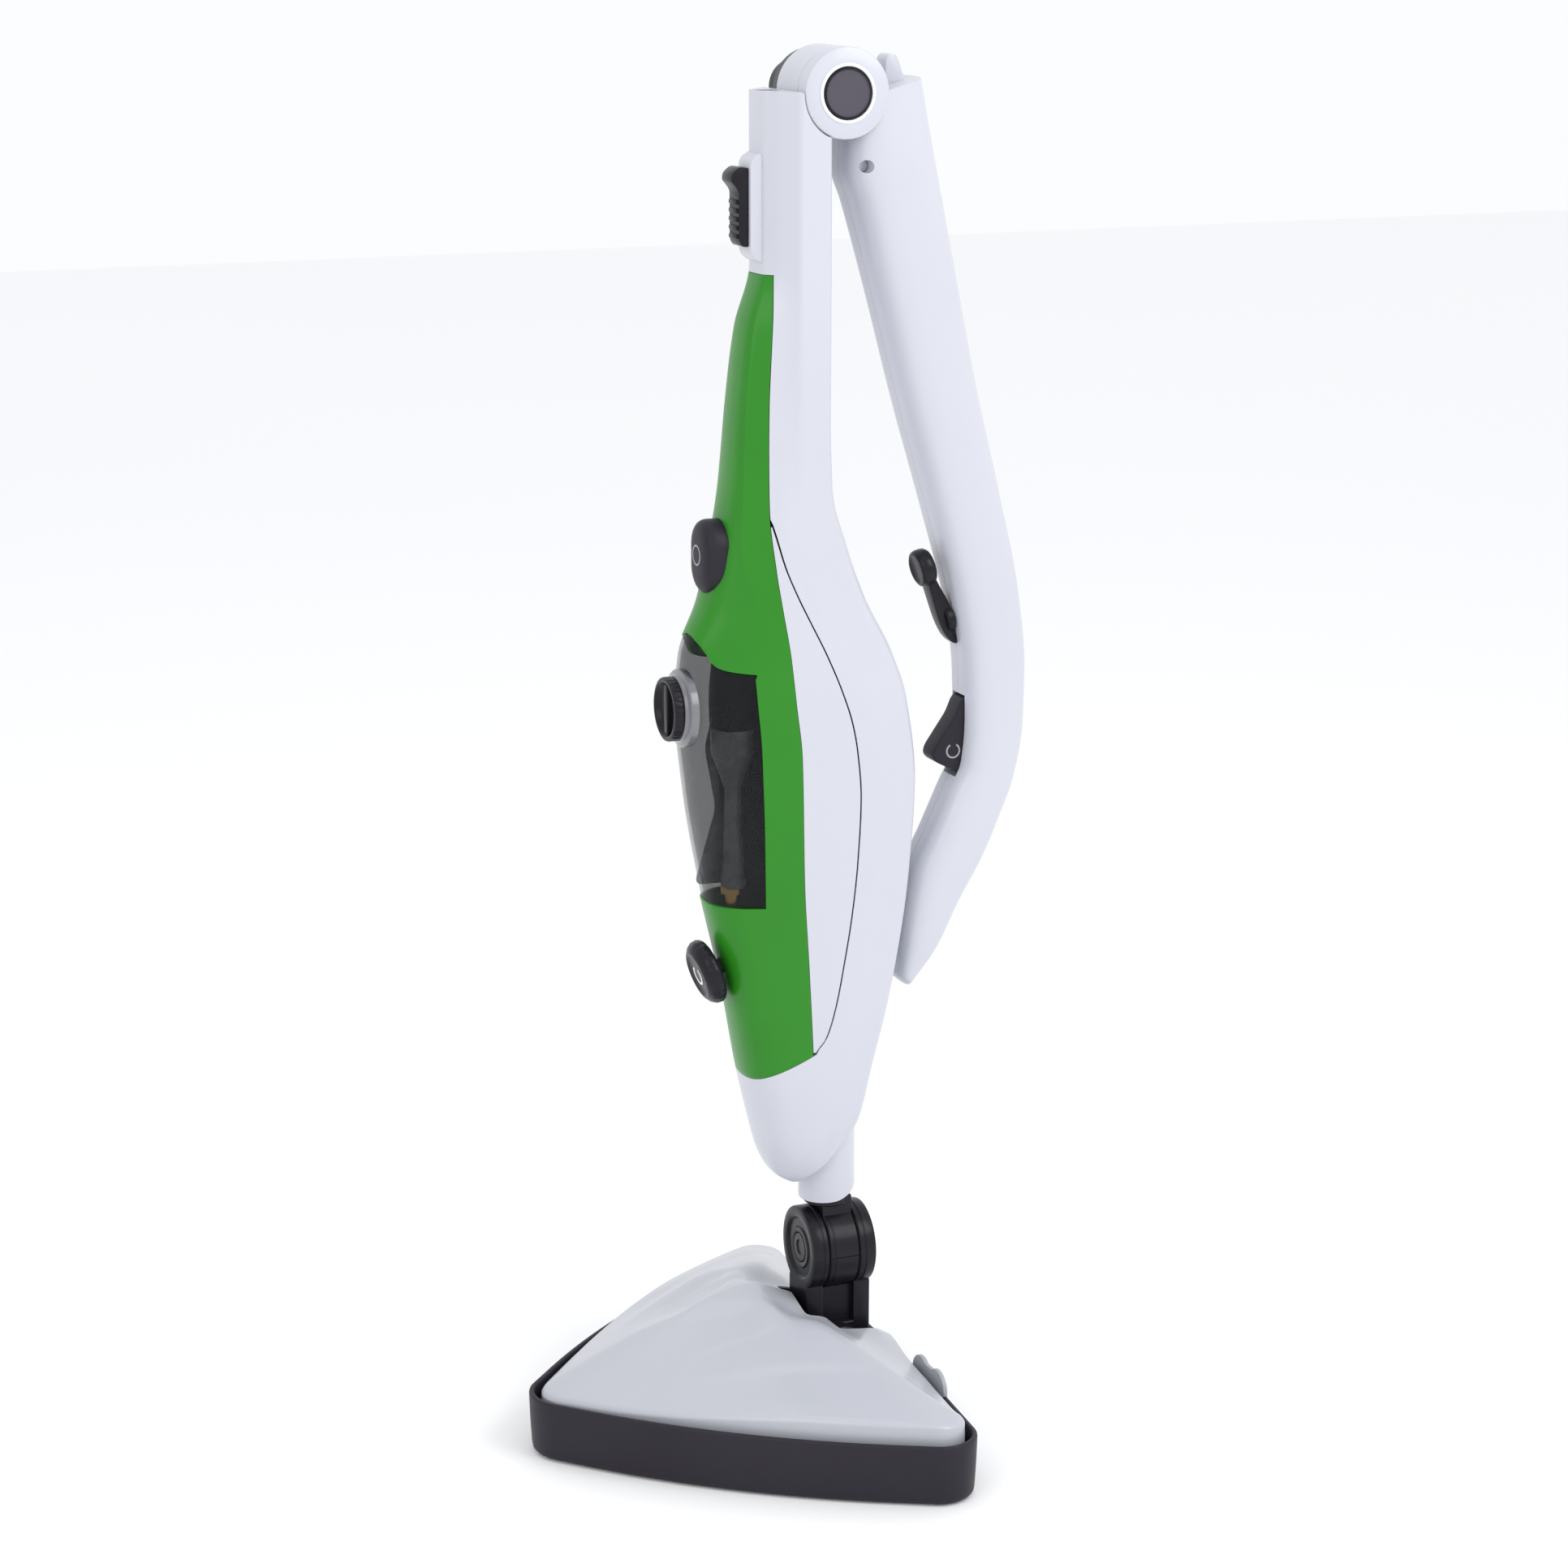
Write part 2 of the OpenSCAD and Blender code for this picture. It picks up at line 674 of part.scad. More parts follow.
module hub_barrel() {
    color(white) difference() {
        union() {
            hub_pocket(hub_r, hub_half);
            // tongue that reaches down into the pole
            translate([-hub_half + 1, -24, 655]) cube([2 * hub_half - 2, 12, 40]);
        }
        hub_pocket(pin_r + 0.06, 30);
        intersection() {
            translate([-30, -60, 650]) cube([60, 100, 27]);
            difference() {
                translate([-30, -60, 650]) cube([60, 100, 27]);
                skin([level(640, whole(inset(BODY[15][1], wall + hug))), level(680, whole(inset(BODY[15][1], wall + hug)))]);
            }
        }
    }
}

module fold_pin() {
    color(steel) hub_pocket(pin_r, 23);
}

module at_hub(x) {
    translate([x, hub_y, hub_z]) rotate([0, 90, 0]) children();
}

module pivot_cap_right() {
    color(black) at_hub(22.6) difference() {
        cylinder(r = 12.8, h = 2.6);
        translate([0, 0, -1]) cylinder(r = pin_r + 0.02, h = 1.6);
    }
}

module pivot_cap_left() {
    color(black) at_hub(-45) difference() {
        union() {
            cylinder(r = 14, h = 20.2);
            translate([0, 0, 20]) cylinder(r = 12.8, h = 2.4);
        }
        translate([0, 0, 21.8]) cylinder(r = pin_r + 0.02, h = 2);
    }
}

// stations of the folded handle: inner [y, z], outer [y, z], half width
HANDLE = [
    [[3.6, 697.5], [42.4, 706.6], 24.5],
    [[2.9, 662.1], [49.3, 673.5], 24.5],
    [[8.3, 644.7], [53.2, 656], 23.5],
    [[19.6, 604.7], [62.3, 615.3], 21],
    [[37.1, 540], [76.6, 549.8], 19.5],
    [[52.6, 487.8], [90, 496.8], 18.5],
    [[66.2, 437.5], [102.3, 443], 17.5],
    [[71.6, 402], [106.8, 402.5], 17],
    [[72.4, 376], [106.2, 371.5], 17],
    [[70.6, 354], [101.2, 343], 17],
    [[63.6, 338.6], [94, 323.4], 16.5],
    [[54, 318], [84.6, 302.4], 16.5],
    [[42.8, 294], [70.6, 278], 16],
    [[37.6, 264], [57.5, 253.5], 15],
    [[36.2, 243], [43.5, 236], 12]
];

function rib(s, d) = let (
        a = s[0], b = s[1], l = norm(b - a), u = (b - a) / l,
        w = s[2] - d, m = l - 2 * d, o = a + u * d,
        half = [[0, 0], [0.55, 0], [0.92, 0.18], [1, 0.36], [1, 0.62], [0.86, 0.88], [0.5, 1], [0, 1]])
    [for (p = whole(half)) [p[0] * w, o[0] + u[0] * p[1] * m, o[1] + u[1] * p[1] * m]];

module handle_solid(d, first, last) {
    skin([for (i = [last:-1:first]) rib(HANDLE[i], d)]);
}

module handle_half(side) {
    difference() {
        union() {
            difference() {
                handle_solid(0, 0, 14);
                handle_solid(wall, 2, 13);
            }
            at_hub(side > 0 ? hub_half + gap : -24.5) cylinder(r = hub_r, h = 24.5 - hub_half - gap);
            intersection() {
                handle_posts();
                handle_solid(0.5, 0, 14);
            }
        }
        // room for the middle barrel
        hub_pocket(hub_r + 0.5, hub_half + gap);
        hub_pocket(pin_r + 0.02, 40);
        at_hub(side > 0 ? 22.5 : -26) cylinder(r = 13, h = 3.5);
        // room for the trigger
        translate([-7.6, 55, 341]) cube([15.2, 28, 49]);
        for (p = HANDLE_SCREWS) handle_screw_hole(p);
        trigger_pin_hole();
        hook_screw_hole();
        // each shell keeps to its own side
        translate([side > 0 ? -100 + hug / 2 : -hug / 2, -100, 0]) cube([100, far, 800]);
        at_tab() translate([-6, -11.1, -1.6]) cube([12, 8.2, 5]);
    }
}

// y, z and the side of the head: the top screw goes in from the right, the others from the left
HANDLE_SCREWS = [[9.5, 664, 1], [52, 560, -1], [78, 470, -1]];
module handle_posts() {
    for (p = HANDLE_SCREWS) translate([-26, p[0], p[1]]) rotate([0, 90, 0]) cylinder(r = 4.6, h = 52);
}
module handle_screw_hole(p) {
    translate([0, p[0], p[1]]) rotate([0, p[2] * 90, 0]) {
        translate([0, 0, -12]) cylinder(r = screw_r + 0.02, h = 40);
        translate([0, 0, 12]) cylinder(r = 3.2, h = 40);
    }
}
module handle_screws() {
    color(steel) for (p = HANDLE_SCREWS) translate([0, p[0], p[1]]) rotate([0, p[2] * 90, 0]) {
        translate([0, 0, -10]) cylinder(r = screw_r, h = 22.4);
        translate([0, 0, 12.2]) cylinder(r = 2.9, h = 2);
    }
    color(steel) at_hook() {
        translate([0, 0, -8]) cylinder(r = screw_r, h = 15);
        translate([0, 0, 6.8]) cylinder(r = 3.1, h = 1.2);
    }
}

module handle_right() { color(white) handle_half(1); }
module handle_left() { color(white) handle_half(-1); }

module at_tab() {
    translate([0, 36, 705.1]) rotate([13.2, 0, 0]) children();
}

module fold_tab() {
    color(white) at_tab() {
        translate([-5.9, -11, -1.5]) cube([11.8, 8, 12.5]);
        translate([-5.9, -11, 8]) cube([11.8, 9, 2]);
    }
}

trigger_y = 79;
trigger_z = 384;
module handle_trigger() {
    color(black) difference() {
        union() {
            side_cut([[74.5, 388], [71, 386.5], [67.5, 378], [55.5, 361], [54.6, 357], [57, 354],
                [70, 347.5], [76, 349], [78, 362], [82.5, 380], [81, 387]], 6.8);
        }
        translate([0, trigger_y, trigger_z]) rotate([0, 90, 0]) cylinder(r = 2.06, h = 30, center = true);
    }
}

module trigger_pin_hole() {
    translate([0, trigger_y, trigger_z]) rotate([0, 90, 0]) cylinder(r = 2.02, h = 24, center = true);
}

module trigger_pin() {
    color(steel) translate([0, trigger_y, trigger_z]) rotate([0, 90, 0]) cylinder(r = 2, h = 23, center = true);
}

module trigger_spring() {
    color(steel) translate([0, 81.2, 356]) rotate([-90, 0, 0]) {
        for (k = [0:2]) translate([0, 0, k * 1.9 + 0.4]) rotate_extrude() translate([2.4, 0]) circle(0.4, $fn = 16);
        translate([2.4, 0, 0.4]) cylinder(r = 0.3, h = 3.8);
    }
}

module trigger_switch() {
    color(black) translate([-5, 87, 348]) cube([10, 6, 18]);
    color(black) translate([-2, 85.5, 361]) cube([4, 2, 3]);
}

// frame on the inner side of the handle, its z axis square to the surface
hook_y = 67.6;
hook_z = 430;
module at_hook() {
    translate([0, hook_y, hook_z]) rotate([104, 0, 0]) children();
}

module hook_screw_hole() {
    at_hook() translate([0, 0, -20]) cylinder(r = screw_r + 0.02, h = 30);
}

module cord_hook() {
    color(black) at_hook() difference() {
        union() {
            translate([0, 0, 1]) cylinder(r = 7.5, h = 7.2);
            translate([-4, -14, 4.4]) cube([8, 37, 4.2]);
            // round lobe that keeps the cord on the arm
            translate([0, 29, 8.4]) cylinder(r = 9.5, h = 5.2);
        }
        cylinder(r = screw_r + 0.4, h = 20, center = true);
        translate([0, 0, 6.4]) cylinder(r = 3.5, h = 3);
    }
}

glider_tray();
glider_clip_right();
glider_clip_left();
head_cover();
head_base();
sole_plate();
steam_nozzle();
head_pin();
head_screws();
joint_yoke();
joint_barrel();
joint_bolt();
neck_tube();
main_frame();
side_shell_right();
side_shell_left();
front_panel();
water_tank();
tank_cap();
tank_seal();
tank_outlet();
power_button();
button_spring();
button_switch();
steam_knob();
steam_valve();
boiler();
thermostat();
pump();
control_board();
suction_hose();
feed_hose();
steam_pipe();
cord_gland();
release_slider();
slider_spring();
hub_barrel();
fold_pin();
pivot_cap_right();
pivot_cap_left();
handle_right();
handle_left();
fold_tab();
handle_trigger();
trigger_pin();
trigger_spring();
trigger_switch();
cord_hook();
frame_screws();
handle_screws();
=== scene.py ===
"""Looks of the foldable steam mop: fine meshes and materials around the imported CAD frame."""

import json
import math

import bmesh
import bpy
import numpy as np
from mathutils import Matrix, Vector


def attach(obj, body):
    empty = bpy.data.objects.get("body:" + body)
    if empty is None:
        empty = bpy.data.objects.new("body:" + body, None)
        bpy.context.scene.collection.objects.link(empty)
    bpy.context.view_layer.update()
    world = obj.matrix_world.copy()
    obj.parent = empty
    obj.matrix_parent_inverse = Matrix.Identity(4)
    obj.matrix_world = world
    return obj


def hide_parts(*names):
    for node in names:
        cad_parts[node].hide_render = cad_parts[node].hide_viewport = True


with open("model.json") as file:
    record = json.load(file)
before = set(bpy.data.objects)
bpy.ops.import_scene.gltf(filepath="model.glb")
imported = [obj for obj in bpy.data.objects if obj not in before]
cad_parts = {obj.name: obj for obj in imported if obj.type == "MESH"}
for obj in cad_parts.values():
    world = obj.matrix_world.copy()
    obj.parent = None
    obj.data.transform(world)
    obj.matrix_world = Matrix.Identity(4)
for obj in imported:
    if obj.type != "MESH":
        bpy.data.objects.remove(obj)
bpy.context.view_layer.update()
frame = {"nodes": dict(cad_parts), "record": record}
MM = 0.001

# BODY, SEAM, EDGE, CUP_RIM, BOTTOM_RIM, WINDOW_SIDE, WINDOW_TOP, SLOT_EDGE, NECK_RIM, HANDLE and the
# camera values come wholly or partly from helper scripts, which turned places read from the photo
# into millimetres. Numbers like that do not belong in a script. They are still to be designed again
# from a few driving dimensions, arcs and curves.

# ---------- body surface, in millimetres ----------

# height, then the half outline from the front centre to the rear centre: front centre, front
# corner, front crease, panel edge, seam, spine crease, rear corner, rear centre, each x then y
BODY = [
    (133, 0, -25, 5, -24.7, 8, -23.5, 11, -20, 13, -15, 12, -11, 8, -7, 0, -6),
    (138, 0, -33, 6, -32.6, 11, -31, 15, -25, 17, -17, 16, -10, 10, -5, 0, -4),
    (150, 0, -40, 8, -39.3, 14, -36.5, 19, -30, 22, -19, 21, -9, 15, -1, 0, 1),
    (167, 0, -44.5, 10, -43.6, 17, -40.5, 22, -34, 25, -20, 25, -6, 19.5, 8.5, 0, 13),
    (196, 0, -51, 11, -50, 19, -46.5, 25, -38, 28, -21, 28, -3, 22.5, 15, 0, 20),
    (240, 0, -59, 11, -58, 20, -53.5, 26, -42, 30, -22, 30, 1, 25, 25, 0, 30),
    (300, 0, -73, 13, -71, 22, -61, 27, -46, 31, -25, 31, 9, 26, 34, 0, 39),
    (350, 0, -81.5, 13, -79.5, 22, -67, 27, -49, 31, -26, 31.5, 13, 26.5, 37, 0, 42),
    (395, 0, -85.5, 13, -83.5, 22, -69.5, 27, -52, 31, -30, 31.5, 5, 26, 32, 0, 36),
    (420, 0, -84, 13, -81, 26.3, -51.7, 28.4, -46, 31, -33, 30.5, -9, 25.5, 23.5, 0, 27),
    (448, 0, -72.5, 14, -69.8, 24.2, -52.5, 26.6, -46, 29, -38, 29, -21, 25.5, 9, 0, 12),
    (475, 0, -65.5, 13, -63.7, 20, -56.2, 24, -46, 27.5, -38, 28, -25, 25.3, -1, 0, 1.5),
    (505, 0, -59.5, 12, -58.3, 17.3, -54.8, 21.6, -43, 24.5, -36, 26, -26.8, 25, -9, 0, -6.5),
    (547, 0, -55.5, 10, -54.6, 14.5, -52.5, 19.2, -41.5, 22, -34, 25, -27, 24.6, -10, 0, -8),
    (585, 0, -50.5, 9, -49.8, 13, -48, 17.6, -39.5, 21, -33, 25, -27, 24.6, -10, 0, -8),
    (616, 0, -42, 6, -41.8, 9.5, -41.3, 16, -36, 20.5, -31.5, 25, -27, 24.6, -10, 0, -8),
    (660, 0, -42, 6, -41.8, 9.5, -41.3, 16, -36, 20.5, -31.5, 25, -27, 24.6, -10, 0, -8),
    (701, 0, -42, 6, -41.8, 9.5, -41.3, 16, -36, 20.5, -31.5, 25, -27, 24.6, -10, 0, -8),
]
# how far each corner of the outline is rounded, low on the body and on the pole
SOFT_LOW = (1.0, 0.95, 0.9, 0.9, 0.95, 0.5, 0.45, 1.0)
SOFT_MID = (1.0, 0.9, 0.3, 0.8, 0.9, 0.45, 0.45, 1.0)
SOFT_POLE = (1.0, 0.8, 0.4, 0.5, 0.6, 0.22, 0.35, 0.6)
# the seam between side shell and spine, and the rear edge of the green panel: height, y
SEAM = [(133, -16), (210, -20), (218, -14.6), (234.7, -9.4), (256.8, -5.2), (286.9, -0.5),
        (311.4, 2), (346, 3.6), (371, 1.5), (385, -1.2), (402.7, -7.1), (422, -15.3), (438.4, -23.4),
        (452.1, -30.1), (468, -36.7), (486.3, -41.6), (492, -43.1)]
EDGE = [(204, -21), (258.8, -24.4), (300.4, -27), (369.4, -28.5), (396.6, -31.6), (424.9, -35.1),
        (446, -38.4), (465.7, -41.2), (491.5, -43.2), (520.9, -42.7), (546.6, -41.9), (577, -40.1),
        (608.5, -37.9), (612, -37.7)]
POLE_TOP = 701.0


def spline(points, at):
    """Monotone cubic through (place, value...) rows, read at the places in at."""
    table = np.array(points, float)
    x, v = table[:, 0], table[:, 1:]
    at = np.asarray(at, float)
    h = np.diff(x)[:, None]
    d = np.diff(v, axis=0) / h
    slope = np.zeros_like(v)
    same = d[:-1] * d[1:] > 0
    w1, w2 = 2 * h[1:] + h[:-1], h[1:] + 2 * h[:-1]
    safe0, safe1 = np.where(same, d[:-1], 1.0), np.where(same, d[1:], 1.0)
    slope[1:-1] = np.where(same, (w1 + w2) / (w1 / safe0 + w2 / safe1), 0.0)
    slope[0], slope[-1] = d[0], d[-1]
    k = np.clip(np.searchsorted(x, at) - 1, 0, len(x) - 2)
    t = np.clip((at - x[k]) / h[k, 0], 0, 1)[:, None]
    a, b, hk = v[k], v[k + 1], h[k]
    return (a * (1 + 2 * t) * (1 - t) ** 2 + slope[k] * hk * t * (1 - t) ** 2
            + b * t * t * (3 - 2 * t) + slope[k + 1] * hk * t * t * (t - 1))


def ease(low, high, value):
    t = np.clip((np.asarray(value, float) - low) / (high - low), 0, 1)
    return t * t * (3 - 2 * t)


def surface(u, z):
    """Points of the right half of the body skin; u runs 0 to 7 from the front centre to the rear."""
    u, z = np.broadcast_arrays(np.asarray(u, float), np.asarray(z, float))
    shape = u.shape
    u, z = u.ravel(), z.ravel()
    pts = spline(BODY, z).reshape(-1, 8, 2)
    mid, pole = ease(425, 450, z)[:, None], ease(500, 600, z)[:, None]
    soft = np.array(SOFT_LOW) * (1 - mid) + np.array(SOFT_MID) * mid
    soft = soft * (1 - pole) + np.array(SOFT_POLE) * pole
    rows = np.arange(len(u))

    def along(p):
        k = np.clip(np.floor(p).astype(int), 0, 6)
        f = (p - k)[:, None]
        return pts[rows, k] * (1 - f) + pts[rows, k + 1] * f

    c = np.clip(np.round(u).astype(int), 0, 7)
    half = soft[rows, c] / 2
    t = np.clip((u - c) / half / 2 + 0.5, 0, 1)[:, None]
    low, high = along(np.clip(c - half, 0, 7)), along(np.clip(c + half, 0, 7))
    mirror = np.array([-1.0, 1.0])
    low = np.where((c == 0)[:, None], high * mirror, low)
    high = np.where((c == 7)[:, None], low * mirror, high)
    corner = low * (1 - t) ** 2 + 2 * pts[rows, c] * t * (1 - t) + high * t * t
    flat = along(u)
    xy = np.where((np.abs(u - c) < half)[:, None], corner, flat)
    return np.column_stack([xy, z]).reshape(shape + (3,))


GRID_U = np.linspace(0, 7, 561)


def find_u(y, z):
    """Where the body skin has this y at this height."""
    y, z = np.broadcast_arrays(np.asarray(y, float), np.asarray(z, float))
    flat = surface(np.tile(GRID_U, (z.size, 1)),
                   np.repeat(z.ravel(), len(GRID_U)).reshape(-1, len(GRID_U)))
    out = [np.interp(v, np.maximum.accumulate(row[:, 1]), GRID_U) for v, row in zip(y.ravel(), flat)]
    return np.array(out).reshape(z.shape)


# ---------- mesh helpers, in millimetres until an object is made ----------

def make(name, verts, faces):
    """A mesh object from millimetre points."""
    mesh = bpy.data.meshes.new(name)
    mesh.from_pydata([tuple(float(c) * MM for c in v) for v in verts], [], [tuple(f) for f in faces])
    mesh.validate()
    obj = bpy.data.objects.new(name, mesh)
    bpy.context.scene.collection.objects.link(obj)
    return obj


def settle(obj):
    """Applies the modifiers and keeps one plain mesh."""
    depsgraph = bpy.context.evaluated_depsgraph_get()
    mesh = bpy.data.meshes.new_from_object(obj.evaluated_get(depsgraph))
    obj.modifiers.clear()
    old, obj.data = obj.data, mesh
    mesh.name = obj.name
    if old.users == 0:
        bpy.data.meshes.remove(old)
    return obj


def clean(obj, merge=0.004, normals=True):
    bm = bmesh.new()
    bm.from_mesh(obj.data)
    bmesh.ops.remove_doubles(bm, verts=bm.verts, dist=merge * MM)
    bmesh.ops.dissolve_degenerate(bm, edges=bm.edges, dist=merge * MM * 0.5)
    if normals:
        bmesh.ops.recalc_face_normals(bm, faces=bm.faces)
    bm.to_mesh(obj.data)
    bm.free()
    return obj


def thicken(obj, thickness, even_offset=True):
    m = obj.modifiers.new("wall", "SOLIDIFY")
    m.thickness, m.offset, m.use_even_offset = thickness * MM, -1.0, even_offset
    m.use_quality_normals = True
    m.thickness_clamp = 0.8
    return settle(obj)


def bevel(obj, width, segments=2, angle=50):
    m = obj.modifiers.new("edge", "BEVEL")
    m.width, m.segments = width * MM, segments
    m.limit_method, m.angle_limit = "ANGLE", math.radians(angle)
    m.use_clamp_overlap = True
    m.harden_normals = False
    return settle(obj)


def smooth(obj, angle=35):
    obj.data.shade_smooth()
    obj.data.set_sharp_from_angle(angle=math.radians(angle))
    return obj


def boolean(obj, tools, how):
    for tool in tools:
        m = obj.modifiers.new("bool", "BOOLEAN")
        m.operation, m.solver, m.object = how, "EXACT", tool
        settle(obj)
        drop(tool)
    return clean(obj, 0.002, normals=False)


def drop(obj):
    mesh = obj.data
    bpy.data.objects.remove(obj)
    if mesh.users == 0:
        bpy.data.meshes.remove(mesh)


def quads(rows, cols, base=0, flip=False, closed=False):
    out = []
    for i in range(rows - 1):
        for j in range(cols if closed else cols - 1):
            a, b = base + i * cols + j, base + i * cols + (j + 1) % cols
            f = (a, b, b + cols, a + cols)
            out.append(f[::-1] if flip else f)
    return out


def sheets(name, grids, mirrored=True, caps=()):
    """One surface out of point grids for x > 0, with their mirror images, and caps that cross the middle."""
    verts, faces = [], []
    for g in caps:
        faces += quads(g.shape[0], g.shape[1], len(verts))
        verts += [tuple(p) for p in g.reshape(-1, 3)]
    for g in grids:
        rows, cols = g.shape[:2]
        for side in ((1, -1) if mirrored else (1,)):
            faces += quads(rows, cols, len(verts), flip=side < 0)
            verts += [tuple(p) for p in (g.reshape(-1, 3) * [side, 1, 1])]
    return clean(make(name, verts, faces), 0.02, normals=False)


def frame_on(origin, axis, up=(0, 0, 1)):
    """Matrix whose z axis runs along axis from origin, in millimetres."""
    z = Vector(axis).normalized()
    x = Vector(up).cross(z)
    x = x.normalized() if x.length > 1e-6 else Vector((1, 0, 0))
    m = Matrix.Identity(4)
    for i, v in enumerate((x, z.cross(x), z, Vector(origin))):
        for k in range(3):
            m[k][i] = v[k]
    return m


def lathe(name, profile, at, around=96, lobes=None):
    """A closed turned body; profile is radius, height from the lower centre to the upper centre."""
    verts, n = [], len(profile)
    for k, (r, h) in enumerate(profile):
        for j in range(around):
            a = 2 * math.pi * j / around
            s = r * (lobes(k, a) if lobes else 1.0)
            verts.append(at @ Vector((s * math.cos(a), s * math.sin(a), h)))
    faces = quads(n, around, closed=True)
    if profile[0][0] > 0.01:
        faces.append(tuple(range(around))[::-1])
    if profile[-1][0] > 0.01:
        faces.append(tuple((n - 1) * around + j for j in range(around)))
    obj = make(name, verts, faces)
    return clean(obj, 0.01)


def rod(name, radius, low, high, at, around=48):
    """A plain round rod or bore."""
    return lathe(name, [(0, low), (radius, low), (radius, high), (0, high)], at, around)


def ring_lathe(name, profile, at, around=96):
    """A turned ring; profile is a closed loop of radius, height."""
    n = len(profile)
    verts = [at @ Vector((r * math.cos(2 * math.pi * j / around), r * math.sin(2 * math.pi * j / around),
                          h))
             for r, h in profile for j in range(around)]
    faces = []
    for i in range(n):
        for j in range(around):
            a, b, k = i * around, ((i + 1) % n) * around, (j + 1) % around
            faces.append((a + j, a + k, b + k, b + j))
    return clean(make(name, verts, faces), 0.01)


def prism(name, outline, low, high, plane="yz", edge=0.5, segments=2, angle=30):
    """An outline pushed along the axis square to its plane, with rounded edges."""
    place = {"yz": lambda a, b, h: (h, a, b), "xz": lambda a, b, h: (a, h, b), "xy": lambda a, b,
             h: (a, b, h)}[plane]
    n = len(outline)
    verts = [place(a, b, h) for h in (low, high) for a, b in outline]
    faces = [tuple(range(n)), tuple(range(n, 2 * n))[::-1]]
    faces += [(i, i + n, (i + 1) % n + n, (i + 1) % n) for i in range(n)]
    obj = clean(make(name, verts, faces), 0.001)
    return bevel(obj, edge, segments, angle) if edge else obj


def block(name, low, high, edge=0.6):
    return prism(name, [(low[0], low[1]), (high[0], low[1]), (high[0], high[1]), (low[0], high[1])],
                 low[2], high[2], "xy", edge, 3)


def round_corner(points, radius, steps=5, closed=True):
    """Outline with each corner replaced by an arc-like curve; radius is one value or one per corner."""
    n, out = len(points), []
    for i, p in enumerate(points):
        if not closed and i in (0, n - 1):
            out.append(tuple(p))
            continue
        r = radius[i] if isinstance(radius, (list, tuple)) else radius
        p, a, b = Vector(p), Vector(points[i - 1]), Vector(points[(i + 1) % n])
        da, db = a - p, b - p
        ra, rb = min(r, da.length * 0.49), min(r, db.length * 0.49)
        s, e = p + da.normalized() * ra, p + db.normalized() * rb
        for k in range(steps + 1):
            t = k / steps
            out.append(tuple(s * (1 - t) ** 2 + p * 2 * t * (1 - t) + e * t * t))
    return out


def finish(obj, body, slot, replaced=(), material=None, angle=35):
    smooth(obj, angle)
    obj.data.materials.clear()
    obj.data.materials.append(MATERIALS[material or slot])
    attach(obj, body)
    if replaced:
        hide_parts(*replaced)
    return obj


# ---------- materials ----------

MATERIALS = {}


def node_tree(name):
    mat = bpy.data.materials.new(name)
    mat.use_nodes = True
    nodes, links = mat.node_tree.nodes, mat.node_tree.links
    nodes.clear()
    out = nodes.new("ShaderNodeOutputMaterial")
    shader = nodes.new("ShaderNodeBsdfPrincipled")
    links.new(shader.outputs["BSDF"], out.inputs["Surface"])
    coords = nodes.new("ShaderNodeTexCoord")
    return mat, nodes, links, shader, coords.outputs["Object"]


def noise(nodes, links, coords, scale, detail=3.0, stretch=None):
    tex = nodes.new("ShaderNodeTexNoise")
    tex.inputs["Scale"].default_value = scale
    tex.inputs["Detail"].default_value = detail
    if stretch:
        mapping = nodes.new("ShaderNodeMapping")
        mapping.inputs["Scale"].default_value = stretch
        links.new(coords, mapping.inputs["Vector"])
        coords = mapping.outputs["Vector"]
    links.new(coords, tex.inputs["Vector"])
    return tex.outputs["Fac"]


def ramp(nodes, links, value, stops):
    r = nodes.new("ShaderNodeValToRGB")
    while len(r.color_ramp.elements) < len(stops):
        r.color_ramp.elements.new(0.5)
    for e, (p, c) in zip(r.color_ramp.elements, stops):
        e.position, e.color = p, tuple(c) + (1.0,)
    links.new(value, r.inputs["Fac"])
    return r.outputs["Color"]


def spread(nodes, links, value, low, high):
    m = nodes.new("ShaderNodeMapRange")
    m.inputs["To Min"].default_value, m.inputs["To Max"].default_value = low, high
    links.new(value, m.inputs["Value"])
    return m.outputs["Result"]


def bump(nodes, links, shader, value, strength, depth):
    b = nodes.new("ShaderNodeBump")
    b.inputs["Strength"].default_value, b.inputs["Distance"].default_value = strength, depth
    links.new(value, b.inputs["Height"])
    links.new(b.outputs["Normal"], shader.inputs["Normal"])


def plastic(name, color, rough=(0.3, 0.4), shift=0.04, grain=900.0, depth=0.00002, coat=0.0, metal=0.0,
            stretch=None, strength=0.3, broad=14.0, shine=0.5):
    """Moulded plastic, rubber or metal: slow colour drift, uneven gloss and a fine surface grain."""
    mat, nodes, links, shader, coords = node_tree(name)
    drift = noise(nodes, links, coords, broad, 4.0, stretch)
    dark = [c * (1 - shift) for c in color]
    light = [min(1.0, c * (1 + shift)) for c in color]
    links.new(ramp(nodes, links, drift, [(0.3, dark), (0.7, light)]), shader.inputs["Base Color"])
    fine = noise(nodes, links, coords, grain, 2.0, stretch)
    scuff = noise(nodes, links, coords, 60.0, 6.0, stretch)
    links.new(spread(nodes, links, scuff, rough[0], rough[1]), shader.inputs["Roughness"])
    bump(nodes, links, shader, fine, strength, depth)
    shader.inputs["Metallic"].default_value = metal
    shader.inputs["Specular IOR Level"].default_value = shine
    shader.inputs["Coat Weight"].default_value = coat
    shader.inputs["Coat Roughness"].default_value = 0.12
    MATERIALS[name] = mat
    return mat, nodes, links, shader, coords


